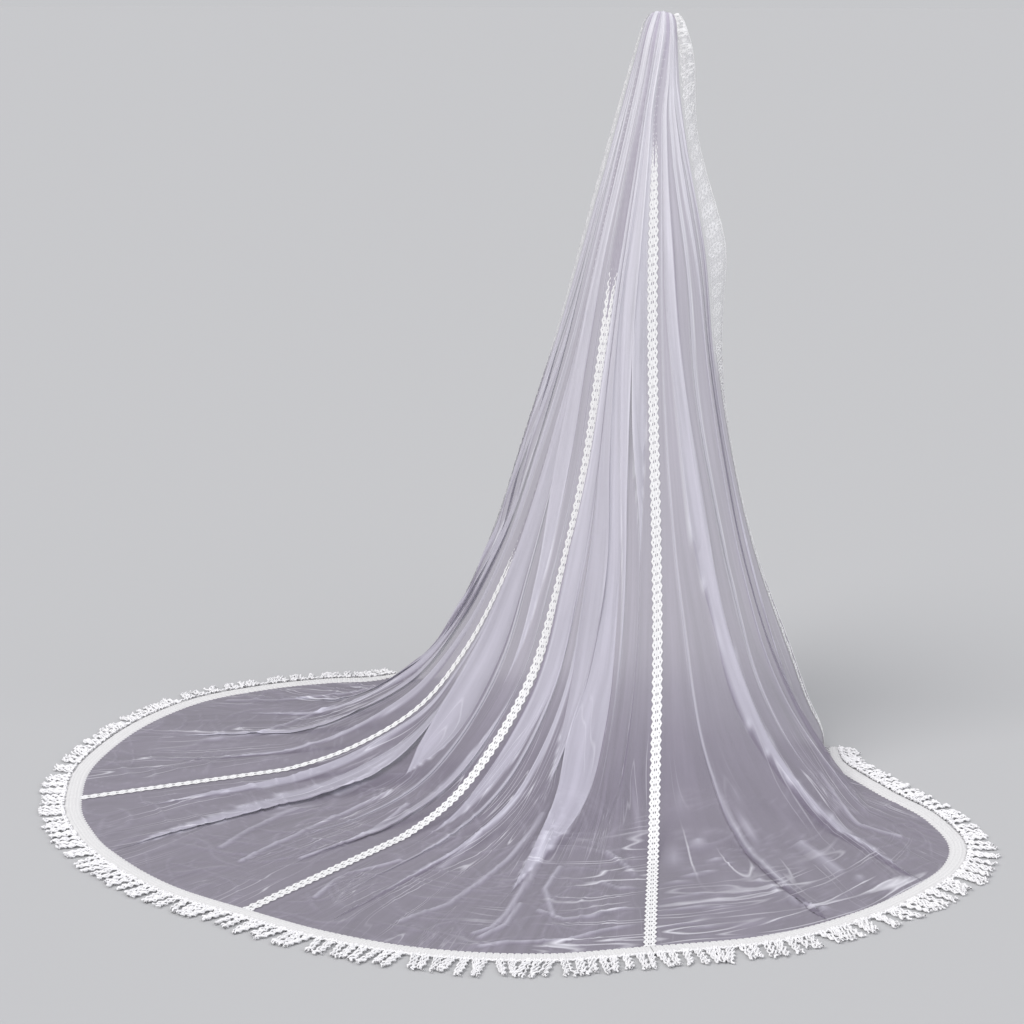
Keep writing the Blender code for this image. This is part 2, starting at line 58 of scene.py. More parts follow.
# One row for each rib: place across the cloth, swing to the back, and distance from the comb at each height
RIBS = (
    (0.00, 0.000, (0.016, 0.020, 0.058, 0.106, 0.134, 0.183, 0.253, 0.330, 0.378, 0.414)),
    (0.45, 0.010, (0.019, 0.034, 0.078, 0.124, 0.156, 0.215, 0.300, 0.410, 0.540, 0.670)),
    (1.00, 0.027, (0.024, 0.048, 0.100, 0.152, 0.212, 0.290, 0.390, 0.505, 0.640, 0.800)),
    (2.00, 0.000, (0.030, 0.060, 0.122, 0.187, 0.249, 0.312, 0.413, 0.524, 0.673, 0.819)),
    (3.00, 0.000, (0.025, 0.047, 0.096, 0.144, 0.203, 0.279, 0.376, 0.488, 0.606, 0.768)),
    (3.55, 0.000, (0.023, 0.048, 0.098, 0.146, 0.208, 0.284, 0.360, 0.465, 0.570, 0.700)),
    (4.00, 0.000, (0.024, 0.057, 0.121, 0.180, 0.255, 0.340, 0.428, 0.518, 0.590, 0.660)),
)
SWING_HEIGHTS = (0.20, 1.15, 1.49, 1.74)
# Distance behind the comb and height above it where the cloth turns over
CREST = ((0.0035, 0.0045), (0.0055, 0.0160), (0.0100, 0.0270), (0.0150, 0.0190))
EDGE_CREST = 0.5
LYING_SHARES = (0.28, 0.62)
# Place across the cloth, and x and y of the hem on the floor
HEM = (
    (0.00, -0.464, -0.081), (0.08, -0.530, 0.024), (0.20, -0.702, 0.141), (0.35, -0.880, 0.240),
    (0.45, -0.988, 0.350), (0.55, -1.036, 0.480), (0.65, -1.036, 0.630), (0.75, -1.010, 0.790),
    (0.90, -0.905, 1.035), (1.00, -0.764, 1.193), (1.25, -0.610, 1.350), (1.50, -0.415, 1.458),
    (1.75, -0.215, 1.506), (2.00, -0.014, 1.516), (2.25, 0.189, 1.514), (2.50, 0.383, 1.468),
    (2.75, 0.560, 1.390), (3.00, 0.741, 1.252), (3.12, 0.860, 1.115), (3.25, 0.957, 0.930),
    (3.40, 1.022, 0.715), (3.52, 1.030, 0.540), (3.65, 0.970, 0.368), (3.80, 0.875, 0.225),
    (3.92, 0.795, 0.142), (4.00, 0.764, 0.062),
)
# Place across the cloth, and how far the fringe reaches past the hem
REACH = (
    (0.0, 0.070), (0.15, 0.094), (0.35, 0.098), (0.6, 0.118), (0.8, 0.110), (1.0, 0.120), (1.2, 0.128),
    (1.5, 0.122), (2.0, 0.110), (2.5, 0.108), (3.0, 0.100), (3.4, 0.085), (3.7, 0.090), (4.0, 0.075),
)
# For each gore, its pleats from its first edge. A row of a pleat: share of the cloth's length, share of the
# gore's width, and millimetres over which the cloth lies threefold. Past its last row a pleat opens flat.
PLEATS = {
    "gore_right_side": (
        ((0.0, 0.07, 3), (0.15, 0.07, 8), (0.40, 0.05, 10), (0.60, 0.07, 15), (0.71, 0.09, 18), (0.84, 0.13, 0)),
        ((0.0, 0.25, 4), (0.20, 0.28, 12), (0.35, 0.27, 18), (0.50, 0.21, 18), (0.62, 0.22, 12), (0.80, 0.26, 0)),
        ((0.0, 0.42, 4), (0.20, 0.43, 9), (0.40, 0.42, 7), (0.60, 0.40, 8), (0.76, 0.40, 9), (0.92, 0.40, 0)),
        ((0.0, 0.60, 4), (0.25, 0.60, 10), (0.38, 0.61, 12), (0.50, 0.58, 15), (0.66, 0.56, 6), (0.80, 0.50, 0)),
        (
            (0.0, 0.80, 4), (0.15, 0.88, 12), (0.25, 0.88, 26), (0.35, 0.83, 33), (0.50, 0.77, 44), (0.60, 0.70, 36),
            (0.67, 0.66, 54), (0.77, 0.60, 36), (0.86, 0.55, 28), (0.97, 0.56, 0),
        ),
        ((0.0, 0.95, 2), (0.30, 0.96, 3), (0.50, 0.93, 3), (0.70, 0.86, 5), (0.85, 0.80, 6), (0.97, 0.76, 0)),
    ),
    "gore_right_back": (
        ((0.0, 0.10, 5), (0.15, 0.15, 14), (0.27, 0.20, 32), (0.39, 0.18, 32), (0.46, 0.15, 9), (0.70, 0.17, 0)),
        ((0.0, 0.28, 5), (0.15, 0.42, 16), (0.25, 0.56, 32), (0.41, 0.42, 18), (0.52, 0.31, 7), (0.68, 0.28, 0)),
        (
            (0.0, 0.45, 5), (0.15, 0.62, 14), (0.25, 0.75, 16), (0.37, 0.61, 22), (0.48, 0.45, 30), (0.58, 0.43, 50),
            (0.65, 0.44, 82), (0.72, 0.41, 70), (0.79, 0.44, 38), (0.88, 0.43, 0),
        ),
        ((0.0, 0.62, 5), (0.15, 0.78, 12), (0.37, 0.80, 34), (0.48, 0.66, 58), (0.60, 0.61, 42), (0.71, 0.56, 0)),
        ((0.0, 0.75, 3), (0.30, 0.87, 3), (0.50, 0.74, 3), (0.70, 0.69, 11), (0.77, 0.74, 15), (0.95, 0.80, 0)),
        ((0.0, 0.86, 3), (0.30, 0.92, 4), (0.50, 0.82, 4), (0.67, 0.80, 7), (0.78, 0.85, 6), (0.90, 0.88, 0)),
        ((0.0, 0.95, 4), (0.37, 0.92, 22), (0.50, 0.88, 46), (0.62, 0.86, 46), (0.70, 0.90, 30), (0.80, 0.94, 0)),
    ),
    "gore_left_back": (
        ((0.0, 0.05, 3), (0.50, 0.06, 3), (0.66, 0.05, 8), (0.70, 0.06, 20), (0.76, 0.09, 20), (0.87, 0.12, 0)),
        ((0.0, 0.24, 4), (0.20, 0.42, 20), (0.28, 0.50, 46), (0.37, 0.44, 50), (0.50, 0.22, 20), (0.62, 0.17, 0)),
        ((0.0, 0.44, 3), (0.30, 0.66, 8), (0.45, 0.53, 10), (0.58, 0.34, 6), (0.70, 0.24, 9), (0.84, 0.28, 0)),
        (
            (0.0, 0.62, 5), (0.20, 0.78, 20), (0.30, 0.86, 38), (0.38, 0.84, 52), (0.45, 0.76, 84), (0.53, 0.64, 110),
            (0.62, 0.54, 140), (0.66, 0.47, 108), (0.73, 0.38, 0),
        ),
        (
            (0.0, 0.80, 3), (0.40, 0.93, 5), (0.55, 0.85, 7), (0.63, 0.74, 14), (0.68, 0.65, 60), (0.74, 0.63, 95),
            (0.82, 0.66, 74), (0.90, 0.62, 42), (0.98, 0.57, 0),
        ),
        ((0.0, 0.95, 3), (0.50, 0.95, 7), (0.65, 0.90, 12), (0.75, 0.87, 30), (0.85, 0.86, 26), (0.94, 0.86, 0)),
    ),
    "gore_left_side": (
        ((0.0, 0.08, 3), (0.30, 0.10, 10), (0.50, 0.12, 25), (0.65, 0.12, 32), (0.78, 0.14, 26), (0.90, 0.15, 0)),
        ((0.0, 0.28, 4), (0.30, 0.30, 16), (0.45, 0.34, 32), (0.62, 0.36, 42), (0.76, 0.34, 50), (0.95, 0.34, 0)),
        ((0.0, 0.48, 4), (0.25, 0.52, 16), (0.45, 0.55, 26), (0.62, 0.57, 38), (0.78, 0.53, 46), (0.92, 0.52, 0)),
        ((0.0, 0.69, 4), (0.20, 0.72, 16), (0.38, 0.74, 24), (0.60, 0.76, 36), (0.82, 0.70, 44), (0.94, 0.68, 0)),
        ((0.0, 0.88, 3), (0.22, 0.92, 14), (0.47, 0.91, 24), (0.63, 0.92, 26), (0.76, 0.91, 22), (0.90, 0.90, 0)),
    ),
}
PLEAT_COLUMNS, MOST_OVERLAP, OPENING = 24, 1.7, 0.06
TALLEST_FOLD, LYING_FOLD, SETTLING_HEIGHT = 0.013, 0.0045, 0.10
# How deep each gore's folds are, as a share of the deepest
FOLD_DEPTHS = (0.85, 1.0, 1.0, 0.55)
# Height and length of the slow waves between the pleats of the hanging cloth
SWAY, SWAY_WAVE = 0.0035, 0.16

CREST_ROWS, CREST_END = 16, 0.03
# Rows lie closer together on the floor than in the hanging cloth
HANGING_ROWS, LYING_ROWS, LYING_FROM = 150, 240, 0.60
SHARES = np.concatenate([
    np.linspace(0, CREST_END, CREST_ROWS, endpoint=False),
    np.linspace(CREST_END, LYING_FROM, HANGING_ROWS, endpoint=False), np.linspace(LYING_FROM, 1, LYING_ROWS),
])
# The dome over the comb is drawn in towards its top
DOME_FOOT, DOME_TOP, DOME_DRAW, DOME_RISE = -0.035, 0.027, 0.30, 0.006
SEAMS = {"band_right": 1, "band_centre": 2, "band_left": 3}
# Down to this share of the length a band lies under the tulle
BAND_EMERGES = {"band_right": 0.15, "band_centre": 0.25, "band_left": 0.53}
EMERGING = 0.09
ON_TULLE = TULLE_THICK / 2 + 0.0006
# Colours of one layer and of a pleat, on the floor and at the crown. The crown colours are lighter partly for the
# denser gathered net there and partly as painted light that offsets the cloth's own shade.
LAYER_TONES = ((0.225, 0.195, 0.262), (0.520, 0.480, 0.580))
PLEAT_TONES = ((0.610, 0.590, 0.690), (0.930, 0.920, 0.970))
# Colour of the lighter crease lines: a painted highlight along the creases, where the net is also denser
CREASE_HIGHLIGHT_TONE = (0.88, 0.87, 0.94)
LAYER_ALPHA, CROWN_ALPHA, PLEAT_ALPHA, DOME_ALPHA = 0.56, 0.62, 0.64, 0.90
EDGE_LAYERS = 3.5


def smooth_step(x):
    x = np.clip(x, 0, 1)
    return x * x * (3 - 2 * x)


def smooth(knots, values, at):
    """A smooth curve through values at uneven knots, read at the places given."""
    knots = np.asarray(knots, float)
    values = np.asarray(values, float).reshape(len(knots), -1)
    step = np.diff(knots)[:, None]
    rise = np.diff(values, axis=0) / step
    slope = np.empty_like(values)
    slope[0] = rise[0]
    slope[-1] = rise[-1]
    slope[1:-1] = (rise[:-1] * step[1:] + rise[1:] * step[:-1]) / (step[:-1] + step[1:])
    at = np.clip(np.atleast_1d(at), knots[0], knots[-1])
    left = np.clip(np.searchsorted(knots, at, side="right") - 1, 0, len(knots) - 2)
    width = step[left]
    s = (at - knots[left])[:, None] / width
    return (
        values[left] * (1 + 2 * s) * (1 - s) ** 2
        + slope[left] * width * s * (1 - s) ** 2
        + values[left + 1] * s * s * (3 - 2 * s)
        + slope[left + 1] * width * s * s * (s - 1)
    )


def lengths(line):
    return np.concatenate([[0.0], np.cumsum(np.linalg.norm(np.diff(line, axis=0), axis=1))])


def along(line, at):
    """Points of a line at the given distances from its start, carried on straight past its ends."""
    run = lengths(line)
    found = np.stack([np.interp(at, run, line[:, k]) for k in range(line.shape[1])], axis=1)
    at = np.asarray(at)
    before = np.minimum(at, 0)[:, None] * (line[1] - line[0]) / (run[1] - run[0])
    after = np.maximum(at - run[-1], 0)[:, None] * (line[-1] - line[-2]) / (run[-1] - run[-2])
    return found + before + after


CAMERA_PLACE = (-2.9925, 4.6815, 0.06)
CAMERA_TILT, CAMERA_TURN = 90 - 12.591, 216.237
CAMERA_LENS, SENSOR, PICTURE = 80.86, 36.0, 1024


def on_floor(places):
    """Places on the floor seen at points of the picture, given in its pixels across and down."""
    places = np.asarray(places, float)
    x, y = ((places - PICTURE / 2) * SENSOR / CAMERA_LENS / PICTURE).T * ((1,), (-1,))
    tilt, turn = math.radians(CAMERA_TILT), math.radians(CAMERA_TURN)
    level, rise = y * math.cos(tilt) + math.sin(tilt), y * math.sin(tilt) - math.cos(tilt)
    far = (FLOOR - CAMERA_PLACE[2]) / rise
    return np.column_stack([
        CAMERA_PLACE[0] + far * (x * math.cos(turn) - level * math.sin(turn)),
        CAMERA_PLACE[1] + far * (x * math.sin(turn) + level * math.cos(turn)),
    ])


def rib(place):
    """The line of the cloth from the comb to the hem, at one place across it, as even shares of its length."""
    comb_x = COMB_SPAN * (place / GORES - 0.5)
    hem = smooth([row[0] for row in HEM], [row[1:] for row in HEM], place)[0]
    swing, *radii = smooth([row[0] for row in RIBS], [(row[1], *row[2]) for row in RIBS], place)[0]
    out = hem - (comb_x, 0.0)
    reach = math.hypot(*out)
    lying = FLOOR + TULLE_THICK / 2
    crest = 1 - (1 - EDGE_CREST) * (2 * place / GORES - 1) ** 2
    profile = [(r, CREST[0][1] + crest * (z - CREST[0][1])) for r, z in CREST]
    profile += [(r, FLOOR + h) for r, h in zip(radii, RIB_HEIGHTS)]
    profile += [(radii[-1] + share * (reach - radii[-1]), lying) for share in (*LYING_SHARES, 1.0)]
    profile = np.array(profile)
    fine = smooth(lengths(profile), profile, np.linspace(0, lengths(profile)[-1], FINE))
    fine[:, 1] = np.maximum(fine[:, 1], lying)
    fine = along(fine, np.linspace(0, lengths(fine)[-1], FINE))
    way = out / reach
    back = np.array([way[1], -way[0]]) * (1 if place < GORES / 2 else -1)
    low, full, falling, top = SWING_HEIGHTS
    height = fine[:, 1] - FLOOR
    swung = swing * smooth_step((height - low) / (full - low)) * smooth_step((top - height) / (top - falling))
    plan = np.outer(fine[:, 0], way) + np.outer(swung, back)
    return np.column_stack([comb_x + plan[:, 0], plan[:, 1], fine[:, 1]])


class Form:
    """The cloth's smooth form: sections from front edge to front edge, one for each share of its length."""

    def __init__(self):
        self.places = np.linspace(0.0, GORES, PLACES)
        ribs = np.array([rib(p) for p in self.places])
        at = SHARES * (FINE - 1)
        below = np.minimum(at.astype(int), FINE - 2)
        part = (at - below)[None, :, None]
        self.rows = (ribs[:, below] * (1 - part) + ribs[:, below + 1] * part).transpose(1, 0, 2)
        high = np.clip((self.rows[..., 2:] - DOME_FOOT) / (DOME_TOP - DOME_FOOT), 0, 1)
        self.rows[..., :2] *= 1 - DOME_DRAW * high ** 2
        self.rows[..., 2:] += DOME_RISE * high ** 2
        down = np.gradient(self.rows, axis=0)
        across = np.gradient(self.rows, axis=1)
        normal = np.cross(across, down)
        self.normals = normal / np.maximum(np.linalg.norm(normal, axis=2, keepdims=True), 1e-12)
        self.normals[-1] = (0.0, 0.0, 1.0)
        self.runs = [lengths(row) for row in self.rows]
        self.seams = np.array([[np.interp(g, self.places, run) for g in range(GORES + 1)] for run in self.runs])
        self.down_run = np.array([lengths(self.rows[:, k]) for k in range(PLACES)]).T

    def at(self, row, s):
        """Points and outward directions of one row at distances from the right front edge."""
        points = along(self.rows[row], s)
        normal = np.stack([np.interp(s, self.runs[row], self.normals[row][:, k]) for k in range(3)], axis=1)
        return points, normal / np.linalg.norm(normal, axis=1, keepdims=True)

    def margins(self, row, gore):
        """Where a gore's folds begin and end in one row, and the widths of its edging and half band."""
        begin, end = self.seams[row, gore], self.seams[row, gore + 1]
        edging = min(EDGING_WIDTH, EDGING_SHARE * (end - begin))
        band = min(BAND_WIDTH / 2, BAND_SHARE * (end - begin))
        inner = begin + edging if gore == 0 else begin
        outer = end - edging if gore == GORES - 1 else end
        return inner, outer, edging, band


FORM = Form()


def show(made):
    bpy.context.scene.collection.objects.link(made)


def cloth_mesh(name, points, faces, uv=None, tone=None, flow=None):
    mesh = bpy.data.meshes.new(name)
    points = np.array(points)
    points[:, 2] = np.maximum(points[:, 2], FLOOR)
    mesh.from_pydata(points.tolist(), [], np.asarray(faces).tolist())
    corner = np.zeros(len(mesh.loops), np.int32)
    mesh.loops.foreach_get("vertex_index", corner)
    for label, places in (("cloth", uv), ("flow", flow)):
        if places is not None:
            layer = mesh.uv_layers.new(name=label)
            layer.data.foreach_set("uv", np.asarray(places, np.float32)[corner].ravel())
    if tone is not None:
        layer = mesh.attributes.new("tone", "FLOAT_COLOR", "POINT")
        layer.data.foreach_set("color", np.asarray(tone, np.float32).ravel())
    mesh.shade_smooth()
    return mesh


def piece(name, points, faces, finish, uv=None, tone=None, replaces=(), flow=None):
    """A visible piece that rides on the veil and takes its finish from one slot."""
    mesh = cloth_mesh(name, points, faces, uv, tone, flow)
    mesh.materials.append(finish)
    made = bpy.data.objects.new(name, mesh)
    show(made)
    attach(made, "root")
    if replaces:
        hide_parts(*replaces)
    return made


def grid_faces(rows, cols):
    index = np.arange(rows * cols).reshape(rows, cols)
    return np.stack([index[:-1, :-1], index[:-1, 1:], index[1:, 1:], index[1:, :-1]], axis=-1).reshape(-1, 4)


def new_material(name):
    made = bpy.data.materials.new(name)
    made.use_nodes = True
    return made, made.node_tree, made.node_tree.nodes["Principled BSDF"]


def add_node(tree, kind, **inputs):
    made = tree.nodes.new(kind)
    for key, value in inputs.items():
        made.inputs[key.replace("_", " ")].default_value = value
    return made


def cloth_coordinates(tree, scale, label="cloth"):
    """Coordinates on the cloth times a scale: cloth in metres across and along it, or flow along its folds."""
    source = tree.nodes.new("ShaderNodeUVMap")
    source.uv_map = label
    mapping = add_node(tree, "ShaderNodeMapping", Scale=scale)
    tree.links.new(source.outputs["UV"], mapping.inputs["Vector"])
    return mapping.outputs["Vector"]


def bump(tree, height, shader, strength, distance):
    made = add_node(tree, "ShaderNodeBump", Strength=strength, Distance=distance)
    tree.links.new(height, made.inputs["Height"])
    tree.links.new(made.outputs["Normal"], shader.inputs["Normal"])


def mix_colours(tree, factor, first, second):
    """A colour between two, each one a plain colour or a socket."""
    made = tree.nodes.new("ShaderNodeMix")
    made.data_type = "RGBA"
    tree.links.new(factor, made.inputs["Factor"])
    for socket, value in ((made.inputs[6], first), (made.inputs[7], second)):
        if isinstance(value, tuple):
            socket.default_value = (*value, 1.0)
        else:
            tree.links.new(value, socket)
    return made.outputs[2]


def scaled_range(tree, value, low, high, to_low, to_high):
    made = add_node(tree, "ShaderNodeMapRange", From_Min=low, From_Max=high, To_Min=to_low, To_Max=to_high)
    tree.links.new(value, made.inputs["Value"])
    return made.outputs["Result"]


def calculate(tree, operation, first, second):
    made = tree.nodes.new("ShaderNodeMath")
    made.operation = operation
    for socket, value in zip(made.inputs, (first, second)):
        if isinstance(value, float):
            socket.default_value = value
        else:
            tree.links.new(value, socket)
    return made.outputs["Value"]


def edges_of_cells(tree, vector, randomness):
    made = tree.nodes.new("ShaderNodeTexVoronoi")
    made.feature = "DISTANCE_TO_EDGE"
    made.voronoi_dimensions = "2D"
    made.inputs["Scale"].default_value = 1.0
    made.inputs["Randomness"].default_value = randomness
    tree.links.new(vector, made.inputs["Vector"])
    return made.outputs["Distance"]


def bands(tree, vector, direction, scale, distortion):
    made = add_node(tree, "ShaderNodeTexWave", Scale=scale, Distortion=distortion)
    made.bands_direction = direction
    tree.links.new(vector, made.inputs["Vector"])
    return made.outputs["Fac"]


def mesh_tone(tree):
    """The colour and density set for each point of the mesh, painted shade and highlights included."""
    made = tree.nodes.new("ShaderNodeAttribute")
    made.attribute_name = "tone"
    return made


def noise_at(tree, vector, scale, **inputs):
    """Noise that is stretched along the cloth by a scale for each direction."""
    mapping = add_node(tree, "ShaderNodeMapping", Scale=scale)
    tree.links.new(vector, mapping.inputs["Vector"])
    made = add_node(tree, "ShaderNodeTexNoise", **inputs)
    tree.links.new(mapping.outputs["Vector"], made.inputs["Vector"])
    return made


def crease_lines(tree, vector, scale, levels, thin):
    """Thin wandering lines, where a smooth noise stretched along the cloth passes a few levels."""
    noise = noise_at(tree, vector, scale, Scale=1.0, Detail=1.0, Roughness=0.4)
    noise.noise_dimensions = "2D"
    lines = None
    for level in levels:
        away = calculate(tree, "SUBTRACT", noise.outputs["Fac"], level)
        away = calculate(tree, "ABSOLUTE", away, 0.0)
        line = scaled_range(tree, away, 0.0, thin, 1.0, 0.0)
        lines = line if lines is None else calculate(tree, "MAXIMUM", lines, line)
    return lines


def patches(tree, vector, scale, low, high):
    """Soft patches in which lines show, and between which they fade."""
    noise = noise_at(tree, vector, scale, Scale=1.0, Detail=1.0)
    return scaled_range(tree, noise.outputs["Fac"], low, high, 0.0, 1.0)


def tulle_material():
    """Sheer net: its colour and density set in the mesh where it folds, with streaks, and fine creases drawn as
    lighter, denser lines whose lightness is a painted highlight.
    """
    made, tree, shader = new_material("tulle")
    tone = mesh_tone(tree)
    net = edges_of_cells(tree, cloth_coordinates(tree, (700.0, 700.0, 700.0)), 0.25)
    threads = scaled_range(tree, net, 0.02, 0.32, 1.05, 0.88)
    cloud = add_node(tree, "ShaderNodeTexNoise", Scale=1.0, Detail=4.0, Roughness=0.6)
    tree.links.new(cloth_coordinates(tree, (7.0, 1.6, 1.0), "flow"), cloud.inputs["Vector"])
    streaks = scaled_range(tree, cloud.outputs["Fac"], 0.32, 0.68, 0.86, 1.16)
    shade = calculate(tree, "MULTIPLY", threads, streaks)
    plain = tree.nodes.new("ShaderNodeVectorMath")
    plain.operation = "SCALE"
    tree.links.new(tone.outputs["Color"], plain.inputs[0])
    tree.links.new(shade, plain.inputs["Scale"])
    down = cloth_coordinates(tree, (1.0, 1.0, 1.0), "flow")
    flat = cloth_coordinates(tree, (1.0, 1.0, 1.0), "cloth")
    split = tree.nodes.new("ShaderNodeSeparateXYZ")
    tree.links.new(down, split.inputs["Vector"])
    flowing = crease_lines(tree, down, (4.6, 1.5, 1.0), (0.43, 0.55), 0.015)
    fading = patches(tree, flat, (5.0, 2.5, 1.0), 0.45, 0.62)
    flowing = calculate(tree, "MULTIPLY", flowing, fading)
    lower = scaled_range(tree, split.outputs["Y"], 1.60, 1.95, 0.0, 0.75)
    flowing = calculate(tree, "MULTIPLY", flowing, lower)
    sideways = crease_lines(tree, flat, (2.2, 13.0, 1.0), (0.44, 0.56), 0.026)
    fading = patches(tree, flat, (6.0, 6.0, 1.0), 0.40, 0.58)
    sideways = calculate(tree, "MULTIPLY", sideways, fading)
    beside = calculate(tree, "ABSOLUTE", split.outputs["X"], 0.0)
    beside = scaled_range(tree, beside, 2.0, 3.2, 0.85, 0.0)
    near_hem = scaled_range(tree, split.outputs["Y"], 2.00, 2.20, 0.0, 1.0)
    corner = calculate(tree, "MULTIPLY", beside, near_hem)
    sideways = calculate(tree, "MULTIPLY", sideways, corner)
    elsewhere = calculate(tree, "SUBTRACT", 1.0, corner)
    flowing = calculate(tree, "MULTIPLY", flowing, elsewhere)
    lines = calculate(tree, "MAXIMUM", flowing, sideways)
    # Painted highlight: the crease lines are lighter, and a little denser in the alpha below
    colour = mix_colours(tree, lines, plain.outputs["Vector"], CREASE_HIGHLIGHT_TONE)
    tree.links.new(colour, shader.inputs["Base Color"])
    alpha = calculate(tree, "ADD", tone.outputs["Alpha"], calculate(tree, "MULTIPLY", lines, 0.25))
    tree.links.new(alpha, shader.inputs["Alpha"])
    shader.inputs["Roughness"].default_value = 0.55
    shader.inputs["Specular IOR Level"].default_value = 0.25
    shader.inputs["Sheen Weight"].default_value = 0.2
    shader.inputs["Sheen Roughness"].default_value = 0.45
    bump(tree, calculate(tree, "ADD", lines, cloud.outputs["Fac"]), shader, 0.35, 0.004)
    return made


def lace_material(name, colour, painted_recess_shade, stitch, across, along_it):
    """White thread lace: twisted stitches, with a painted shade darkening the lace between them."""
    made, tree, shader = new_material(name)
    stitches = tree.nodes.new("ShaderNodeTexVoronoi")
    stitches.feature = "F1"
    stitches.voronoi_dimensions = "2D"
    stitches.inputs["Scale"].default_value = 1.0
    tree.links.new(cloth_coordinates(tree, (stitch, stitch, stitch)), stitches.inputs["Vector"])
    twist = bands(tree, cloth_coordinates(tree, (across, along_it, 1.0)), "DIAGONAL", 1.0, 2.0)
    mixed = calculate(tree, "MULTIPLY", stitches.outputs["Distance"], twist)
    tone = mesh_tone(tree)
    # Painted shade: the lace turns to its darker colour away from the stitches' centres and along the twist
    shade = mix_colours(tree, mixed, colour, painted_recess_shade)
    final = tree.nodes.new("ShaderNodeVectorMath")
    final.operation = "MULTIPLY"
    tree.links.new(shade, final.inputs[0])
    tree.links.new(tone.outputs["Color"], final.inputs[1])
    tree.links.new(final.outputs["Vector"], shader.inputs["Base Color"])
    shader.inputs["Roughness"].default_value = 0.75
    shader.inputs["Specular IOR Level"].default_value = 0.25
    shader.inputs["Sheen Weight"].default_value = 0.2
    bump(tree, mixed, shader, 0.5, 0.0008)
    return made


def yarn_material():
    """Soft looped yarn with a twist along it."""
    made, tree, shader = new_material("fringe")
    twist = bands(tree, cloth_coordinates(tree, (2.0, 320.0, 1.0)), "DIAGONAL", 1.0, 0.0)
    fuzz = add_node(tree, "ShaderNodeTexNoise", Scale=900.0, Detail=2.0)
    geometry = tree.nodes.new("ShaderNodeTexCoord")
    tree.links.new(geometry.outputs["Object"], fuzz.inputs["Vector"])
    mixed = calculate(tree, "ADD", twist, fuzz.outputs["Fac"])
    shade = scaled_range(tree, mixed, 0.4, 1.6, 0.0, 1.0)
    # Darker in the twist's grooves, a painted shade, and darker at random with the fuzz
    colour = mix_colours(tree, shade, (0.82, 0.81, 0.84), (0.97, 0.965, 0.97))
    tree.links.new(colour, shader.inputs["Base Color"])
    shader.inputs["Roughness"].default_value = 0.8
    shader.inputs["Specular IOR Level"].default_value = 0.2
    shader.inputs["Sheen Weight"].default_value = 0.3
    bump(tree, mixed, shader, 0.4, 0.0006)
    return made


def metal_material():
    """Polished comb wire with fine scratches along the bar."""
    made, tree, shader = new_material("comb_metal")
    coordinates = tree.nodes.new("ShaderNodeTexCoord")
    scratches = noise_at(tree, coordinates.outputs["Object"], (90.0, 900.0, 900.0), Scale=3.0, Detail=4.0)
    rough = scaled_range(tree, scratches.outputs["Fac"], 0.3, 0.7, 0.20, 0.42)
    tree.links.new(rough, shader.inputs["Roughness"])
    colour = mix_colours(tree, scratches.outputs["Fac"], (0.70, 0.70, 0.72), (0.84, 0.84, 0.86))
    tree.links.new(colour, shader.inputs["Base Color"])
    shader.inputs["Metallic"].default_value = 1.0
    bump(tree, scratches.outputs["Fac"], shader, 0.2, 0.0001)
    return made


def ribbon_material():
    """Satin ribbon with fine ribs across it."""
    made, tree, shader = new_material("ribbon")
    coordinates = tree.nodes.new("ShaderNodeTexCoord")
    ribs = bands(tree, coordinates.outputs["Object"], "X", 420.0, 0.4)
    # Painted shade: darker between the ribs
    colour = mix_colours(tree, ribs, (0.78, 0.77, 0.80), (0.92, 0.91, 0.93))
    tree.links.new(colour, shader.inputs["Base Color"])
    shader.inputs["Roughness"].default_value = 0.35
    shader.inputs["Sheen Weight"].default_value = 0.3
    bump(tree, ribs, shader, 0.3, 0.0003)
    return made


def fold_strength(overlap):
    """How strongly the cloth folds back, for the share of its room over which it lies threefold."""
    strength = np.linspace(1 / np.pi, 3.0, 200)
    turn = np.arccos(1 / (np.pi * strength)) / np.pi
    return np.interp(overlap, strength * np.sin(np.pi * turn) - turn, strength)


def crest_of(x):
    """Height of a fold across its room, from its near side, where it lies low, to its far one."""
    return np.where(x < 0.5, smooth_step(x + 0.5), smooth_step((1 - x) / 0.5))


# Wrinkles of the lying cloth: direction in degrees, length of a wave in metres, height, drift and its wave
WRINKLES = (
    (28, 0.105, 0.0030, 1.7, 0.42), (64, 0.083, 0.0026, 2.1, 0.35), (-12, 0.121, 0.0030, 1.9, 0.51),
    (101, 0.074, 0.0022, 2.4, 0.30), (152, 0.092, 0.0024, 2.2, 0.38),
)


def wrinkles(x, y):
    """Heights of the small sharp wrinkles at places on the floor, and how sharp each place is."""
    tall = np.zeros_like(x)
    sharp = np.zeros_like(x)
    for k, (way, wave, height, drift, slow) in enumerate(WRINKLES):
        turn = math.radians(way)
        along_it = x * math.cos(turn) + y * math.sin(turn)
        across = y * math.cos(turn) - x * math.sin(turn)
        bend = drift * np.sin(2 * np.pi * along_it / slow + 1.9 * k) + 0.8 * np.sin(2 * np.pi * across / 0.23 + k)
        ridge = (1 - np.abs(np.sin(np.pi * across / wave + bend))) ** 5
        lasting = smooth_step(0.5 + 1.2 * np.sin(2 * np.pi * along_it / 0.31 + 2.3 * k + 3 * across)
                              * np.sin(2 * np.pi * across / 0.47 + 1.1 * k))
        tall += height * ridge * lasting
        sharp = np.maximum(sharp, ridge * lasting)
    return tall, sharp


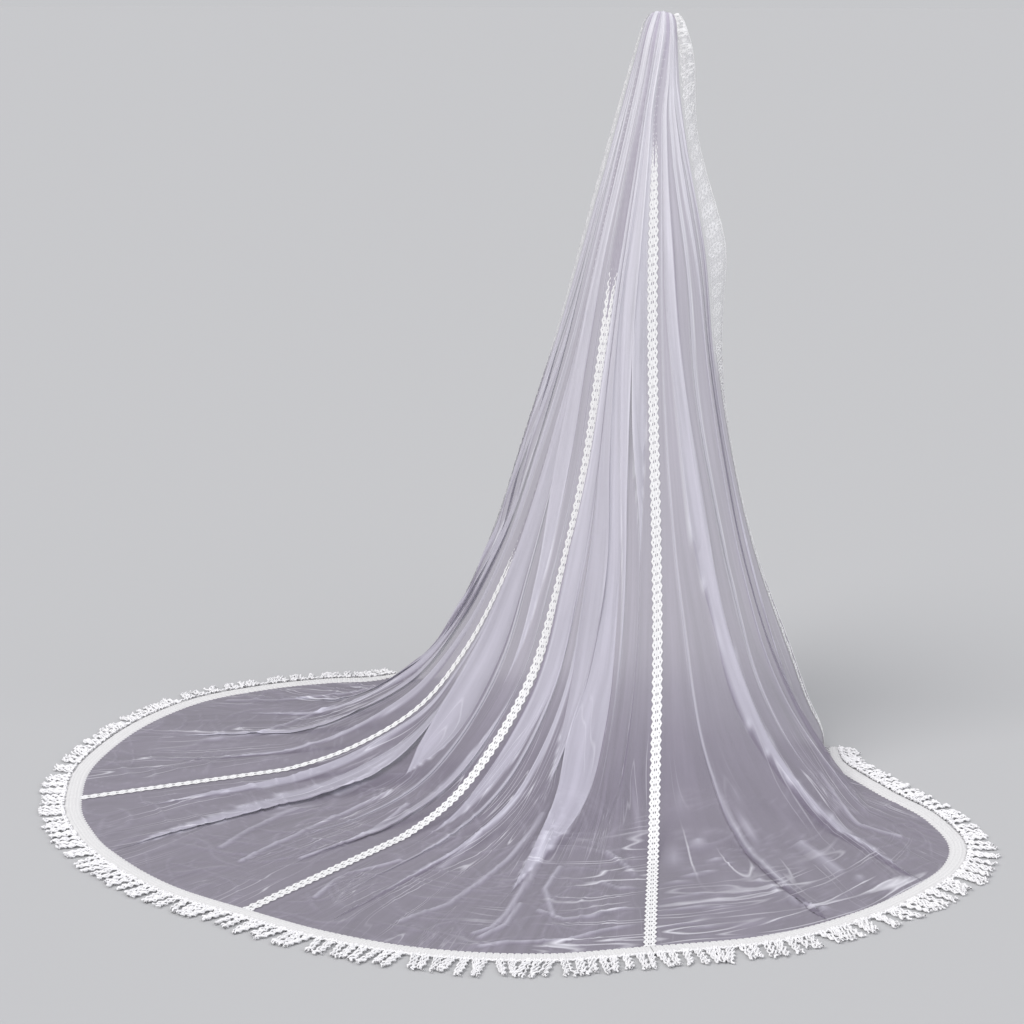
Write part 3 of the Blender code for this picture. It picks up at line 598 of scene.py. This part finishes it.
# Creases pressed into the lying cloth, each a line of places in the picture
CREASES = (
    ((703, 803), (732, 820), (757, 851), (790, 880)), ((687, 843), (698, 849), (711, 860), (727, 864)),
    ((658, 893), (687, 878), (710, 872)), ((662, 897), (683, 899), (710, 891)),
    ((662, 914), (690, 908), (734, 908)), ((660, 924), (719, 929)), ((643, 882), (625, 866), (608, 857)),
    ((643, 889), (618, 889), (602, 883)), ((643, 909), (614, 910), (591, 918), (564, 920), (539, 912)),
    ((643, 924), (604, 931), (566, 941), (518, 943), (480, 947)),
    ((547, 845), (528, 882), (505, 916), (491, 929), (474, 934)),
    ((543, 832), (514, 855), (480, 883), (448, 905), (400, 922)), ((541, 816), (518, 822), (480, 841), (440, 870)),
    ((625, 805), (623, 816), (633, 824), (639, 839), (646, 855)), ((671, 807), (679, 818), (677, 847), (671, 874)),
    ((446, 758), (416, 772), (361, 791), (310, 807), (280, 816), (246, 832), (221, 848)),
    ((391, 802), (361, 809), (329, 820), (296, 836), (264, 850), (241, 862)),
    ((407, 813), (374, 830), (347, 843), (301, 859)), ((349, 869), (315, 898)), ((400, 862), (361, 871), (329, 878)),
    ((388, 687), (338, 696), (280, 701), (228, 701)), ((338, 710), (303, 719), (257, 735), (200, 742)),
    ((520, 905), (506, 925), (480, 938)), ((800, 845), (840, 872), (872, 884)), ((760, 880), (800, 905), (850, 915)),
    ((820, 800), (860, 826), (900, 838)), ((560, 868), (545, 890), (553, 917)),
)
CREASE_HEIGHT, CREASE_WIDTH = 0.0045, 0.0060
LINES = [on_floor(line) for line in CREASES]
CREASE_STARTS = np.concatenate([line[:-1] for line in LINES])
CREASE_WAYS = np.concatenate([np.diff(line, axis=0) for line in LINES])
# Count of pleats at which each gore's flow coordinates start; they pass zero at the right seam
FLOW_STARTS = (-6.1, 0.0, 20.0, 40.0)


def creases(x, y):
    """Height of the placed creases at places on the floor, as a share of their full height."""
    away = np.stack([x, y], axis=-1)[:, None, :] - CREASE_STARTS
    share = np.clip((away * CREASE_WAYS).sum(axis=2) / (CREASE_WAYS ** 2).sum(axis=1), 0, 1)
    gap = np.linalg.norm(away - share[..., None] * CREASE_WAYS, axis=2).min(axis=1)
    return np.exp(-(gap / CREASE_WIDTH) ** 2)


def tone_at(tones, high):
    """A colour between the one on the floor and the one at the crown."""
    return np.array(tones[0]) * (1 - high) + np.array(tones[1]) * high


def grey(light):
    return np.stack([light, light, light, np.ones_like(light)], axis=-1)


def gore_surface(index, name):
    """Points, cloth coordinates, flow coordinates and tone of one gore's pleated tulle."""
    tables = PLEATS[name]
    knots = [smooth([row[0] for row in table], [row[1:] for row in table], SHARES) for table in tables]
    centres = np.array([k[:, 0] for k in knots])
    widths = np.array([np.maximum(k[:, 1], 0) * 0.001 for k in knots])
    shut = np.array([1 - smooth_step((SHARES - table[-1][0]) / OPENING) for table in tables])
    side = np.where(np.arange(len(tables)) % 2 == index % 2, 1.0, -1.0)
    x = np.linspace(-1, 1, PLEAT_COLUMNS, endpoint=False)
    crest = np.array([crest_of(way * x) for way in side])
    points, uv, flow, tone = [], [], [], []
    length = FORM.down_run[:, int((PLACES - 1) * (index + 0.5) / GORES)]
    for j, share in enumerate(SHARES):
        inner, outer, _, band = FORM.margins(j, index)
        begin, end = inner + band, outer - band
        centre = begin + centres[:, j] * (end - begin)
        edges = np.concatenate([[begin], (centre[1:] + centre[:-1]) / 2, [end]])
        left, right = centre - edges[:-1], edges[1:] - centre
        room = (left + right) / 2
        free = 2 * np.minimum(centre - begin, end - centre) - 0.001
        width = np.minimum(widths[:, j], np.maximum(free, 0))
        strength = fold_strength(np.minimum(width / 2 / room, MOST_OVERLAP)) * shut[:, j]
        base = centre[:, None] + np.where(x < 0, left[:, None] * x, right[:, None] * x)
        s = base - (strength * room)[:, None] * np.sin(np.pi * x)
        lying = 1 - smooth_step((FORM.rows[j, :, 2].mean() - FLOOR) / SETTLING_HEIGHT)
        most = TALLEST_FOLD + (LYING_FOLD - TALLEST_FOLD) * lying
        tall = np.minimum(0.0016 + 0.26 * width, most) * FOLD_DEPTHS[index] * shut[:, j]
        height = tall[:, None] * crest
        within = width[:, None] / 2 - np.abs(s - centre[:, None])
        inside = np.clip(within / 0.003 + 0.5, 0, 1) * shut[:, j, None]
        turned = np.exp(-(within / 0.0022) ** 2) * shut[:, j, None] * np.clip(width[:, None] / 0.010, 0, 1)
        s = np.concatenate([[inner], s.ravel(), [end, outer]])
        height, inside, turned = (
            np.concatenate([[0], of.ravel(), [0, 0]]) for of in (height, inside, turned)
        )
        middle, normal = FORM.at(j, s)
        off_seam = smooth_step(np.minimum(s - begin, end - s) / 0.05)
        phase = 3 * math.sin(5 * share + index) + index
        sway = SWAY * off_seam * np.sin(2 * np.pi * (s - begin) / SWAY_WAVE + phase)
        rising, sharp = wrinkles(middle[:, 0], middle[:, 1])
        placed = creases(middle[:, 0], middle[:, 1])
        rising, sharp = rising + CREASE_HEIGHT * placed, np.maximum(0.35 * sharp, placed)
        settled = 1 - smooth_step((middle[:, 2] - FLOOR) / SETTLING_HEIGHT)
        near_hem = smooth_step((1 - share) / 0.02)
        height = height + (sway + SWAY) * off_seam * (1 - settled)
        height = height + rising * settled * off_seam * near_hem
        sharp = sharp * settled * off_seam
        row = middle + normal * height[:, None]
        step = np.hypot(np.diff(s), np.diff(height))
        run = np.concatenate([[0], np.cumsum(step)])
        seen = np.abs(np.gradient(s)) / np.maximum(np.hypot(np.gradient(s), np.gradient(height)), 1e-9)
        layers = np.minimum(1 / np.maximum(seen, 1e-3), EDGE_LAYERS)
        high = np.clip((middle[:, 2:] - FLOOR) / CROWN_HEIGHT, 0, 1) ** 0.8
        layer, pleat = tone_at(LAYER_TONES, high), tone_at(PLEAT_TONES, high)
        # Whiter where the net lies threefold or stands steep, for its denser threads, and a painted highlight on fold
        # edges, wrinkles and creases
        denser_and_highlit = np.clip(0.70 * inside + 0.45 * turned + 0.30 * (layers - 1) + 0.60 * sharp, 0, 1.15)[:, None]
        alpha = LAYER_ALPHA + (CROWN_ALPHA - LAYER_ALPHA) * high[:, 0] + 0.08 * turned
        alpha = alpha + (PLEAT_ALPHA - LAYER_ALPHA) * inside * (1 - high[:, 0])
        alpha = 1 - (1 - alpha) ** (layers + 0.8 * sharp)
        alpha = alpha + (DOME_ALPHA - alpha) * smooth_step((CREST_END * 2 - share) / (CREST_END * 1.5))
        points.append(row)
        uv.append(np.column_stack([run, np.full(len(s), length[j])]))
        pleat_count = np.arange(len(s)) / PLEAT_COLUMNS + FLOW_STARTS[index]
        flow.append(np.column_stack([pleat_count, np.full(len(s), length[j])]))
        tone.append(np.column_stack([layer * (1 - denser_and_highlit) + pleat * denser_and_highlit, alpha]))
    points = np.array(points)
    points[..., 2] = np.maximum(points[..., 2], FLOOR + TULLE_THICK / 2)
    return points, np.array(uv), np.array(flow), np.array(tone)


def add_gores(finish):
    made = {}
    for index, name in enumerate(PLEATS):
        points, uv, flow, tone = gore_surface(index, name)
        rows, cols = points.shape[:2]
        cloth = piece(
            name + "_cloth", points.reshape(-1, 3), grid_faces(rows, cols), finish,
            uv.reshape(-1, 2), tone.reshape(-1, 4), [name], flow.reshape(-1, 2),
        )
        crossed = np.cross(points[1:, 1:] - points[:-1, :-1], points[1:, :-1] - points[:-1, 1:])
        area = np.linalg.norm(crossed, axis=2).sum() / 2
        made[name] = (cloth, float(uv[:, -1, 0].max()), float(uv[-1, 0, 1]), float(area))
    return made


def strip(sides, spacing, columns):
    """A fine strip between lines that run down the cloth: points, outward directions, distances and shares.

    Sides gives, for a row, the distances from the right front edge of the strip's two sides, and columns
    are shares of the way between them.
    """
    points, normals = [], []
    for j in range(1, len(SHARES)):
        a, b = sides(j)
        found, out = FORM.at(j, a + (b - a) * columns)
        points.append(found)
        normals.append(out)
    points, normals = np.array(points), np.array(normals)
    count = len(columns)
    run = lengths(points[:, count // 2])
    at = np.linspace(0, run[-1], max(2, int(run[-1] / spacing)) + 1)
    fine = np.stack([
        along(points[:, c], np.interp(at, run, lengths(points[:, c]))) for c in range(count)
    ], axis=1)
    out = np.stack([
        np.stack([np.interp(at, run, normals[:, c, k]) for k in range(3)], axis=1) for c in range(count)
    ], axis=1)
    return fine, out / np.linalg.norm(out, axis=2, keepdims=True), at, np.interp(at, run, SHARES[1:])


def kept_faces(rows, cols, holes):
    """The faces of a grid that aren't in its holes."""
    return grid_faces(rows, cols).reshape(rows - 1, cols - 1, 4)[~holes[:rows - 1, :cols - 1]]


GALLOON_REPEAT, GALLOON_ROWS = 0.022, 14
# Half of the columns of a band, as shares of its half width, and the columns that start its slits and holes
GALLOON_HALF = (0.10, 0.26, 0.44, 0.58, 0.72, 0.86, 1.00)
SLIT_FROM, HOLE_FROM = 0.10, 0.44
UNDER_TULLE = -0.0014


def add_band(name, place, finish):
    """Galloon lace over a seam: twisted cords with pairs of slits, and pointed picots with a hole in each."""
    def sides(row):
        inner, _, _, half = FORM.margins(row, place)
        return inner - half, inner + half

    v = np.array([-h for h in reversed(GALLOON_HALF)] + list(GALLOON_HALF))[None, :]
    points, normal, run, share = strip(sides, GALLOON_REPEAT / GALLOON_ROWS, (v[0] + 1) / 2)
    phase = ((run / GALLOON_REPEAT) % 1.0)[:, None]
    point = 1 - np.abs(2 * phase - 1)
    size = np.abs(v)
    picot = 0.64 + 0.36 * point ** 0.9
    pointed = HOLE_FROM + (size - HOLE_FROM) / (1 - HOLE_FROM) * (picot - HOLE_FROM)
    size = np.where(size > HOLE_FROM, pointed, size)
    centre = (points[:, :1] + points[:, -1:]) / 2
    spot = centre + (points[:, -1:] - points[:, :1]) / 2 * (np.sign(v) * size)[..., None]
    cords = np.exp(-((size - 0.34 - 0.05 * np.cos(2 * np.pi * phase)) / 0.11) ** 2)
    twist = 0.5 + 0.5 * np.sin(4 * np.pi * (phase + 0.5 * v))
    rims = np.exp(-((size - 0.80 * picot) / 0.12) ** 2) * (0.5 + 0.5 * point)
    raised = cords * (0.7 + 0.3 * twist) + 0.8 * rims
    emerged = smooth_step((share - BAND_EMERGES[name]) / EMERGING + 0.5)
    lift = (UNDER_TULLE + (ON_TULLE - UNDER_TULLE) * emerged)[:, None]
    spot = spot + normal * (lift + 0.0017 * raised)[..., None]
    # Painted shade: the lace is darker where it lies low between its raised cords and rims
    light = np.clip(0.86 + 0.16 * raised, 0, 1)
    tone = grey(light)
    uv = np.stack(np.broadcast_arrays(v * BAND_WIDTH / 2, run[:, None]), axis=-1)
    rows, cols = spot.shape[:2]
    from_side = np.minimum(np.abs(v), np.abs(np.roll(v, -1, axis=1)))
    slits = np.isclose(from_side, SLIT_FROM) & (v * np.roll(v, -1, axis=1) > 0) & (np.abs(phase - 0.5) > 0.36)
    holes = np.isclose(from_side, HOLE_FROM) & (np.abs(phase - 0.5) < 0.08)
    return piece(
        name + "_lace", spot.reshape(-1, 3), kept_faces(rows, cols, slits | holes), finish,
        uv.reshape(-1, 2), tone.reshape(-1, 4), [name],
    )


class Parts:
    """Many small shapes gathered into one mesh."""

    def __init__(self):
        self.points, self.faces, self.uv = [], [], []
        self.count = 0

    def add(self, points, faces, uv):
        self.points.append(points)
        self.faces.append(faces + self.count)
        self.uv.append(uv)
        self.count += len(points)

    def gathered(self):
        return np.concatenate(self.points), np.concatenate(self.faces), np.concatenate(self.uv)


def tube(line, radius, sides, up):
    """A thread along a line, with few sides and a radius for each point."""
    tangent = np.gradient(line, axis=0)
    tangent /= np.maximum(np.linalg.norm(tangent, axis=1, keepdims=True), 1e-12)
    side = np.cross(tangent, up)
    side /= np.maximum(np.linalg.norm(side, axis=1, keepdims=True), 1e-9)
    rise = np.cross(side, tangent)
    turn = 2 * np.pi * np.arange(sides) / sides
    ring = side[:, None] * np.cos(turn)[None, :, None] + rise[:, None] * np.sin(turn)[None, :, None]
    points = line[:, None] + ring * np.broadcast_to(radius, len(line))[:, None, None]
    count = len(line)
    index = np.arange(count * sides).reshape(count, sides)
    nxt = np.roll(index, -1, axis=1)
    faces = np.stack([index[:-1], nxt[:-1], nxt[1:], index[1:]], axis=-1).reshape(-1, 4)
    run = lengths(line)
    uv = np.stack(np.broadcast_arrays((np.arange(sides) / sides)[None, :], run[:, None]), axis=-1)
    return points.reshape(-1, 3), faces, uv.reshape(-1, 2)


EDGING_STEP, EDGING_COLUMNS, NET_COLUMNS = 0.0023, 22, 5
# Share of the length, and the shares of the edging's width between which its lace lies
LACE_SIDES = (
    (0.00, 0.04, 1.00), (0.20, 0.04, 1.00), (0.28, 0.02, 1.00), (0.41, 0.02, 1.00),
    (0.46, 0.25, 1.00), (0.56, 0.30, 0.95), (0.64, 0.08, 0.62), (0.90, 0.06, 0.60), (1.00, 0.02, 0.85),
)
# Down to these shares the lace covers its net, which is then at its sheerest
LACE_ONLY, NET_ALPHA = (0.38, 0.48), 0.12
DOT_SPACING, DOT_RADIUS, RIM_RADIUS = 0.0066, 0.0017, 0.0010
FLOWER_ACROSS, PETALS, PETAL_REACH = 0.46, 6, 0.0105
LATTICE = 0.0062


def edging_sides(right):
    def sides(row):
        inner, outer, edging, _ = FORM.margins(row, 0 if right else GORES - 1)
        return (inner, inner - edging) if right else (outer, outer + edging)
    return sides


# Share of the length, and how far the rim of the right front edging turns outwards there
FLARES = (
    (0.0, 0.0), (0.02, 0.016), (0.18, 0.018), (0.24, 0.026), (0.31, 0.032), (0.37, 0.016), (0.45, 0.0), (1.0, 0.0),
)


def flare(normal, share, columns, right):
    """How far the places of an edging turn outwards: the right one does in its upper part."""
    table = np.array(FLARES)
    much = smooth(table[:, 0], table[:, 1:], share) * (1.0 if right else 0.0)
    return normal * (much * columns)[..., None]


def lace_pattern(across, along_it, wide):
    """Holes and raised threads of the guipure lace at places across and along it, in metres."""
    x = across - FLOWER_ACROSS * wide
    y = (along_it + EDGING_REPEAT / 2) % EDGING_REPEAT - EDGING_REPEAT / 2
    far = np.hypot(x, y)
    turn = np.arctan2(y, x)
    petal = PETAL_REACH * (0.62 + 0.38 * np.cos(PETALS * turn))
    between = (far > 0.0040) & (far < PETAL_REACH * 0.95) & (np.cos(PETALS * turn) < -0.45)
    ring = (far > PETAL_REACH * 1.12) & (far < PETAL_REACH * 1.42) & (np.cos(9 * turn + 0.6) > 0.25)
    net = np.sin(np.pi * (across + y) / LATTICE) * np.sin(np.pi * (across - y) / LATTICE)
    outside = (far > PETAL_REACH * 1.60) & (net > 0.42)
    inside_rim = (across > 0.0025) & (across < wide - 0.0025)
    holes = (between | ring | outside) & inside_rim
    raised = np.exp(-((far - petal) / 0.0016) ** 2) + 0.7 * np.exp(-((far - PETAL_REACH * 1.28) / 0.0016) ** 2)
    raised = raised + 0.8 * np.exp(-(far / 0.0028) ** 2) + 0.5 * (net < -0.3)
    return holes, np.clip(raised, 0, 1)


def add_edging(name, finish, net_finish):
    """The front edging: guipure lace on sheer net, with a rim of small dots."""
    right = name.endswith("right")
    columns = np.linspace(0, 1, NET_COLUMNS)
    points, normal, run, share = strip(edging_sides(right), EDGING_STEP * 3, columns)
    rim = (0.95 + 0.05 * np.abs(np.cos(np.pi * run / EDGING_REPEAT)))[:, None, None]
    net = points[:, :1] + (points - points[:, :1]) * rim + flare(normal, share, columns, right)
    high = np.clip((net[..., 2:] - FLOOR) / CROWN_HEIGHT, 0, 1)
    shade = tone_at(LAYER_TONES, high)
    covered = 1 - smooth_step((share - LACE_ONLY[0]) / (LACE_ONLY[1] - LACE_ONLY[0]))[:, None, None]
    shade = shade + (np.array(PLEAT_TONES[1]) - shade) * covered
    shade = np.concatenate([shade, LAYER_ALPHA + (NET_ALPHA - LAYER_ALPHA) * covered + 0 * high], axis=-1)
    rows, cols = net.shape[:2]
    uv = np.stack(np.broadcast_arrays(EDGING_WIDTH * columns[None, :], run[:, None]), axis=-1)
    faces = grid_faces(rows, cols)
    ground = piece(
        name + "_net", net.reshape(-1, 3), faces[:, ::-1] if right else faces, net_finish,
        uv.reshape(-1, 2), shade.reshape(-1, 4), [name], uv.reshape(-1, 2),
    )
    columns = np.linspace(0, 1, EDGING_COLUMNS)
    table = np.array(LACE_SIDES)

    def lace_sides(row):
        first, last = edging_sides(right)(row)
        near, far = (np.interp(SHARES[row], table[:, 0], table[:, k]) for k in (1, 2))
        return first + (last - first) * near, first + (last - first) * far

    points, normal, run, share = strip(lace_sides, EDGING_STEP, columns)
    wide = np.linalg.norm(points[:, -1] - points[:, 0], axis=1)
    wave = np.abs(np.cos(np.pi * run / EDGING_REPEAT))[:, None]
    inner_wave = np.abs(np.sin(2 * np.pi * run / EDGING_REPEAT))[:, None]
    moved = columns[None, :] * (0.80 + 0.20 * wave) + (1 - columns[None, :]) ** 4 * 0.12 * inner_wave
    spot = points[:, :1] + (points[:, -1:] - points[:, :1]) * moved[..., None]
    holes, raised = lace_pattern(moved * wide[:, None], run[:, None], wide[:, None])
    near, far = (np.interp(share, table[:, 0], table[:, k])[:, None] for k in (1, 2))
    spot = spot + normal * (ON_TULLE + 0.0004 + 0.0012 * raised)[..., None]
    spot = spot + flare(normal, share, near + (far - near) * moved, right)
    # Painted shade: the lace is darker where it lies flat between its raised threads
    light = 0.72 + 0.28 * raised
    tone = grey(light)
    uv = np.stack([moved * wide[:, None], np.broadcast_to(run[:, None], moved.shape)], axis=-1)
    rows, cols = spot.shape[:2]
    faces = kept_faces(rows, cols, holes)
    parts = Parts()
    parts.add(spot.reshape(-1, 3), faces[:, ::-1] if right else faces, uv.reshape(-1, 2))
    cord, up = net[:, -1], normal_of(net)
    parts.add(*tube(cord + up * 0.0008, RIM_RADIUS, 4, up))
    at = lengths(cord)
    for place in np.arange(DOT_SPACING / 2, at[-1], DOT_SPACING):
        middle = np.array([np.interp(place, at, cord[:, k]) for k in range(3)])
        raise_by = np.array([np.interp(place, at, up[:, k]) for k in range(3)])
        line = middle + raise_by * np.array([[-0.6], [0.25], [1.1]]) * DOT_RADIUS
        side = np.array([raise_by[1], -raise_by[0], 0.3])
        parts.add(*tube(line, DOT_RADIUS * np.array([0.5, 1.0, 0.4]), 5, side))
    made, faces, uv = parts.gathered()
    bright = np.ones((len(made), 4))
    bright[:len(tone.reshape(-1, 4))] = tone.reshape(-1, 4)
    lace = piece(name + "_lace", made, faces, finish, uv, bright, [name])
    return ground, lace


def normal_of(grid):
    """Outward directions along the last column of a grid of points."""
    down = np.gradient(grid[:, -1], axis=0)
    across = grid[:, -1] - grid[:, -2]
    out = np.cross(down, across)
    out /= np.maximum(np.linalg.norm(out, axis=1, keepdims=True), 1e-12)
    outside = grid[:, -1] * (1.0, 1.0, 0.0)
    return out * np.where((out * outside).sum(axis=1, keepdims=True) < 0, -1, 1)


def hem_line(index):
    """The hem of one gore: points on the floor, directions out of it, places across the cloth, distances."""
    places = np.linspace(index, index + 1, 200)
    table = np.array(HEM)
    flat = smooth(table[:, 0], table[:, 1:], places)
    ahead, behind = (smooth(table[:, 0], table[:, 1:], places + step) for step in (0.004, -0.004))
    tangent = ahead - behind
    out = np.stack([-tangent[:, 1], tangent[:, 0]], axis=1)
    out /= np.linalg.norm(out, axis=1, keepdims=True)
    run = lengths(flat)
    return flat, out, places, run


def on_hem(line, at, distance, height):
    flat, out, _, run = line
    base = np.stack([np.interp(at, run, flat[:, k]) for k in range(2)], axis=-1)
    way = np.stack([np.interp(at, run, out[:, k]) for k in range(2)], axis=-1)
    spot = base + way * np.asarray(distance)[..., None]
    return np.concatenate([spot, np.broadcast_to(FLOOR + np.asarray(height), spot.shape[:-1])[..., None]], axis=-1)


BRAID_STEP, BRAID_COLUMNS = 0.0027, 14
PICOT_REPEAT, PICOT = 0.0135, 0.0055


def braid_width(place):
    """Width of the braid at a place across the cloth: it narrows towards the front corners."""
    return BRAID_WIDTH * np.interp(np.minimum(place, GORES - place), (0, CORNER_TAPER), (CORNER_SHARE, 1))


def add_braid(name, line, finish):
    """Thick woven braid with a knobbly inner edge."""
    run = np.linspace(0, line[3][-1], int(line[3][-1] / BRAID_STEP))
    width = braid_width(np.interp(run, line[3], line[2]))[:, None]
    v = np.linspace(0, 1, BRAID_COLUMNS)[None, :]
    turn = 2 * np.pi * run[:, None] / PICOT_REPEAT
    knob = PICOT * np.abs(np.cos(turn / 2)) ** 0.7
    distance = -knob + (width + knob) * v
    plait = np.sin(turn + 5 * np.pi * v) * np.sin(turn - 5 * np.pi * v)
    dome = np.clip(np.sin(np.pi * v), 0, 1) ** 0.35
    height = 0.0006 + (BRAID_THICK - 0.0016) * dome + 0.0016 * plait * dome
    at = np.broadcast_to(run[:, None], distance.shape)
    points = on_hem(line, at, distance, np.maximum(height, 0.0005))
    # Painted shade and highlight: the braid is darker in the plait's hollows and lighter on its crossings
    light = np.clip(0.87 + 0.13 * plait, 0, 1)
    tone = grey(light)
    uv = np.stack([distance, at], axis=-1)
    rows, cols = points.shape[:2]
    faces = grid_faces(rows, cols)[:, ::-1]
    return piece(
        name + "_woven", points.reshape(-1, 3), faces, finish,
        uv.reshape(-1, 2), tone.reshape(-1, 4), [name],
    )


LOCK_PITCH, LOCK_STRANDS, STRAND_POINTS = 0.0225, 4, 15
YARN_RADIUS = 0.0023
STRAND_WAVE, STRAND_SWING = 0.019, 0.0026
LOCK_ROOT, LOCK_END = 0.0078, 0.0050


def add_fringe(name, line, finish, seed):
    """Curly looped yarns, gathered in locks that lean a little to one side or the other."""
    chance = random.Random(seed)
    table = np.array(REACH)
    length = line[3][-1]
    parts = Parts()
    up = np.array((0.0, 0.0, 1.0))
    count = int(length / LOCK_PITCH)
    t = np.linspace(0, 1, STRAND_POINTS)
    for k in range(count * LOCK_STRANDS):
        lock, strand = divmod(k, LOCK_STRANDS)
        if strand == 0:
            middle = (lock + 0.5 + chance.uniform(-0.28, 0.28)) * length / count
            lean = chance.uniform(-0.014, 0.018)
            long = chance.uniform(0.82, 1.0)
        beside = (strand + 0.5) / LOCK_STRANDS * 2 - 1
        start = middle + LOCK_ROOT * beside
        place = np.interp(start, line[3], line[2])
        near = float(braid_width(place)) - 0.002
        reach = (np.interp(place, table[:, 0], table[:, 1]) - near) * long * chance.uniform(0.84, 1.02)
        waves = reach / STRAND_WAVE * chance.uniform(0.8, 1.2)
        turn = chance.uniform(0, 6.3)
        side = STRAND_SWING * np.sin(2 * np.pi * waves * t + turn) * np.minimum(1, 4 * t)
        side = side + (lean + (LOCK_END - LOCK_ROOT) * beside + chance.uniform(-0.003, 0.003)) * t
        side = side + chance.uniform(-0.006, 0.006) * smooth_step((t - 0.65) / 0.35)
        out = t - 0.07 * smooth_step((t - 0.8) / 0.2)
        lift = YARN_RADIUS + 0.0006 + 0.0045 * (0.5 + 0.5 * np.sin(2 * np.pi * waves * t + turn + 1.6))
        at = np.clip(start + side, 0, length)
        points = on_hem(line, at, near + reach * out, lift)
        thick = YARN_RADIUS * chance.uniform(0.80, 1.15) * (1 + 0.22 * np.sin(4 * np.pi * waves * t))
        parts.add(*tube(points, thick, 4, up))
    at = np.arange(0, length, 0.0035)
    near = braid_width(np.interp(at, line[3], line[2]))
    bend = np.sin(2 * np.pi * at / 0.011 + 0.9 * np.sin(2 * np.pi * at / 0.13))
    lift = YARN_RADIUS + 0.0016 + 0.0016 * (1 + np.cos(2 * np.pi * at / 0.011))
    parts.add(*tube(on_hem(line, at, near + 0.004 + 0.0012 * bend, lift), YARN_RADIUS * 0.9, 4, up))
    made, faces, uv = parts.gathered()
    return piece(name + "_yarn", made, faces, finish, uv * (0.006, 1.0), None, [name])


def add_camera():
    data = bpy.data.cameras.new("camera")
    data.lens = CAMERA_LENS
    data.sensor_width = SENSOR
    made = bpy.data.objects.new("camera", data)
    made.location = CAMERA_PLACE
    made.rotation_euler = (math.radians(CAMERA_TILT), 0, math.radians(CAMERA_TURN))
    show(made)
    bpy.context.scene.camera = made


FLOOR_REACH, FLOOR_TONE = 400.0, (0.490, 0.492, 0.502)


def add_floor():
    finish, _, shader = new_material("floor")
    shader.inputs["Base Color"].default_value = (*FLOOR_TONE, 1.0)
    shader.inputs["Roughness"].default_value = 0.95
    shader.inputs["Specular IOR Level"].default_value = 0.1
    mesh = bpy.data.meshes.new("floor")
    corners = [(x * FLOOR_REACH, y * FLOOR_REACH, FLOOR) for x, y in ((-1, -1), (1, -1), (1, 1), (-1, 1))]
    mesh.from_pydata(corners, [], [(0, 1, 2, 3)])
    mesh.materials.append(finish)
    made = bpy.data.objects.new("floor", mesh)
    show(made)


# Name, direction towards the light, strength, angle in degrees and colour
LIGHTS = (
    ("key", (0.25, 0.70, 0.85), 1.75, 40, (1.0, 0.985, 0.97)),
    ("fill", (-0.90, 0.10, 0.60), 1.10, 60, (0.97, 0.98, 1.0)),
)
SKY_TONE, SKY_STRENGTH = (0.98, 0.99, 1.02), 0.58


def add_lights():
    world = bpy.data.worlds.new("studio")
    world.use_nodes = True
    sky = world.node_tree.nodes["Background"]
    sky.inputs["Color"].default_value = (*SKY_TONE, 1.0)
    sky.inputs["Strength"].default_value = SKY_STRENGTH
    bpy.context.scene.world = world
    for name, way, strength, angle, colour in LIGHTS:
        data = bpy.data.lights.new(name, "SUN")
        data.energy = strength
        data.angle = math.radians(angle)
        data.color = colour
        made = bpy.data.objects.new(name, data)
        made.location = way
        turn = math.atan2(way[0], -way[1])
        tilt = math.atan2(math.hypot(way[0], way[1]), way[2])
        made.rotation_euler = (tilt, 0, turn)
        show(made)


def build():
    add_camera()
    add_floor()
    add_lights()
    bpy.context.scene.view_settings.view_transform = "Standard"
    bpy.context.scene.cycles.transparent_max_bounces = 32
    tulle = tulle_material()
    # The second colour of each lace below is its painted shade
    galloon = lace_material("galloon", (0.97, 0.965, 0.97), (0.80, 0.79, 0.82), 900.0, 500.0, 300.0)
    edging_lace = lace_material("edging_lace", (0.98, 0.975, 0.98), (0.84, 0.83, 0.86), 1200.0, 300.0, 500.0)
    woven = lace_material("hem_braid", (0.91, 0.905, 0.905), (0.64, 0.62, 0.65), 620.0, 260.0, 420.0)
    yarn = yarn_material()
    gores = add_gores(tulle)
    trims = {name: [] for name in gores}
    for band, place in SEAMS.items():
        trims[list(gores)[place - 1]].append(add_band(band, place, galloon))
    trims["gore_right_side"] += add_edging("edging_right", edging_lace, tulle)
    trims["gore_left_side"] += add_edging("edging_left", edging_lace, tulle)
    for index, name in enumerate(gores):
        part = name.removeprefix("gore_")
        line = hem_line(index)
        trims[name].append(add_braid("hem_braid_" + part, line, woven))
        trims[name].append(add_fringe("fringe_" + part, line, yarn, index))
    for name, finish in (("comb", metal_material()), ("gather_binding", ribbon_material())):
        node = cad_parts[name]
        node.data.materials.clear()
        node.data.materials.append(finish)


build()
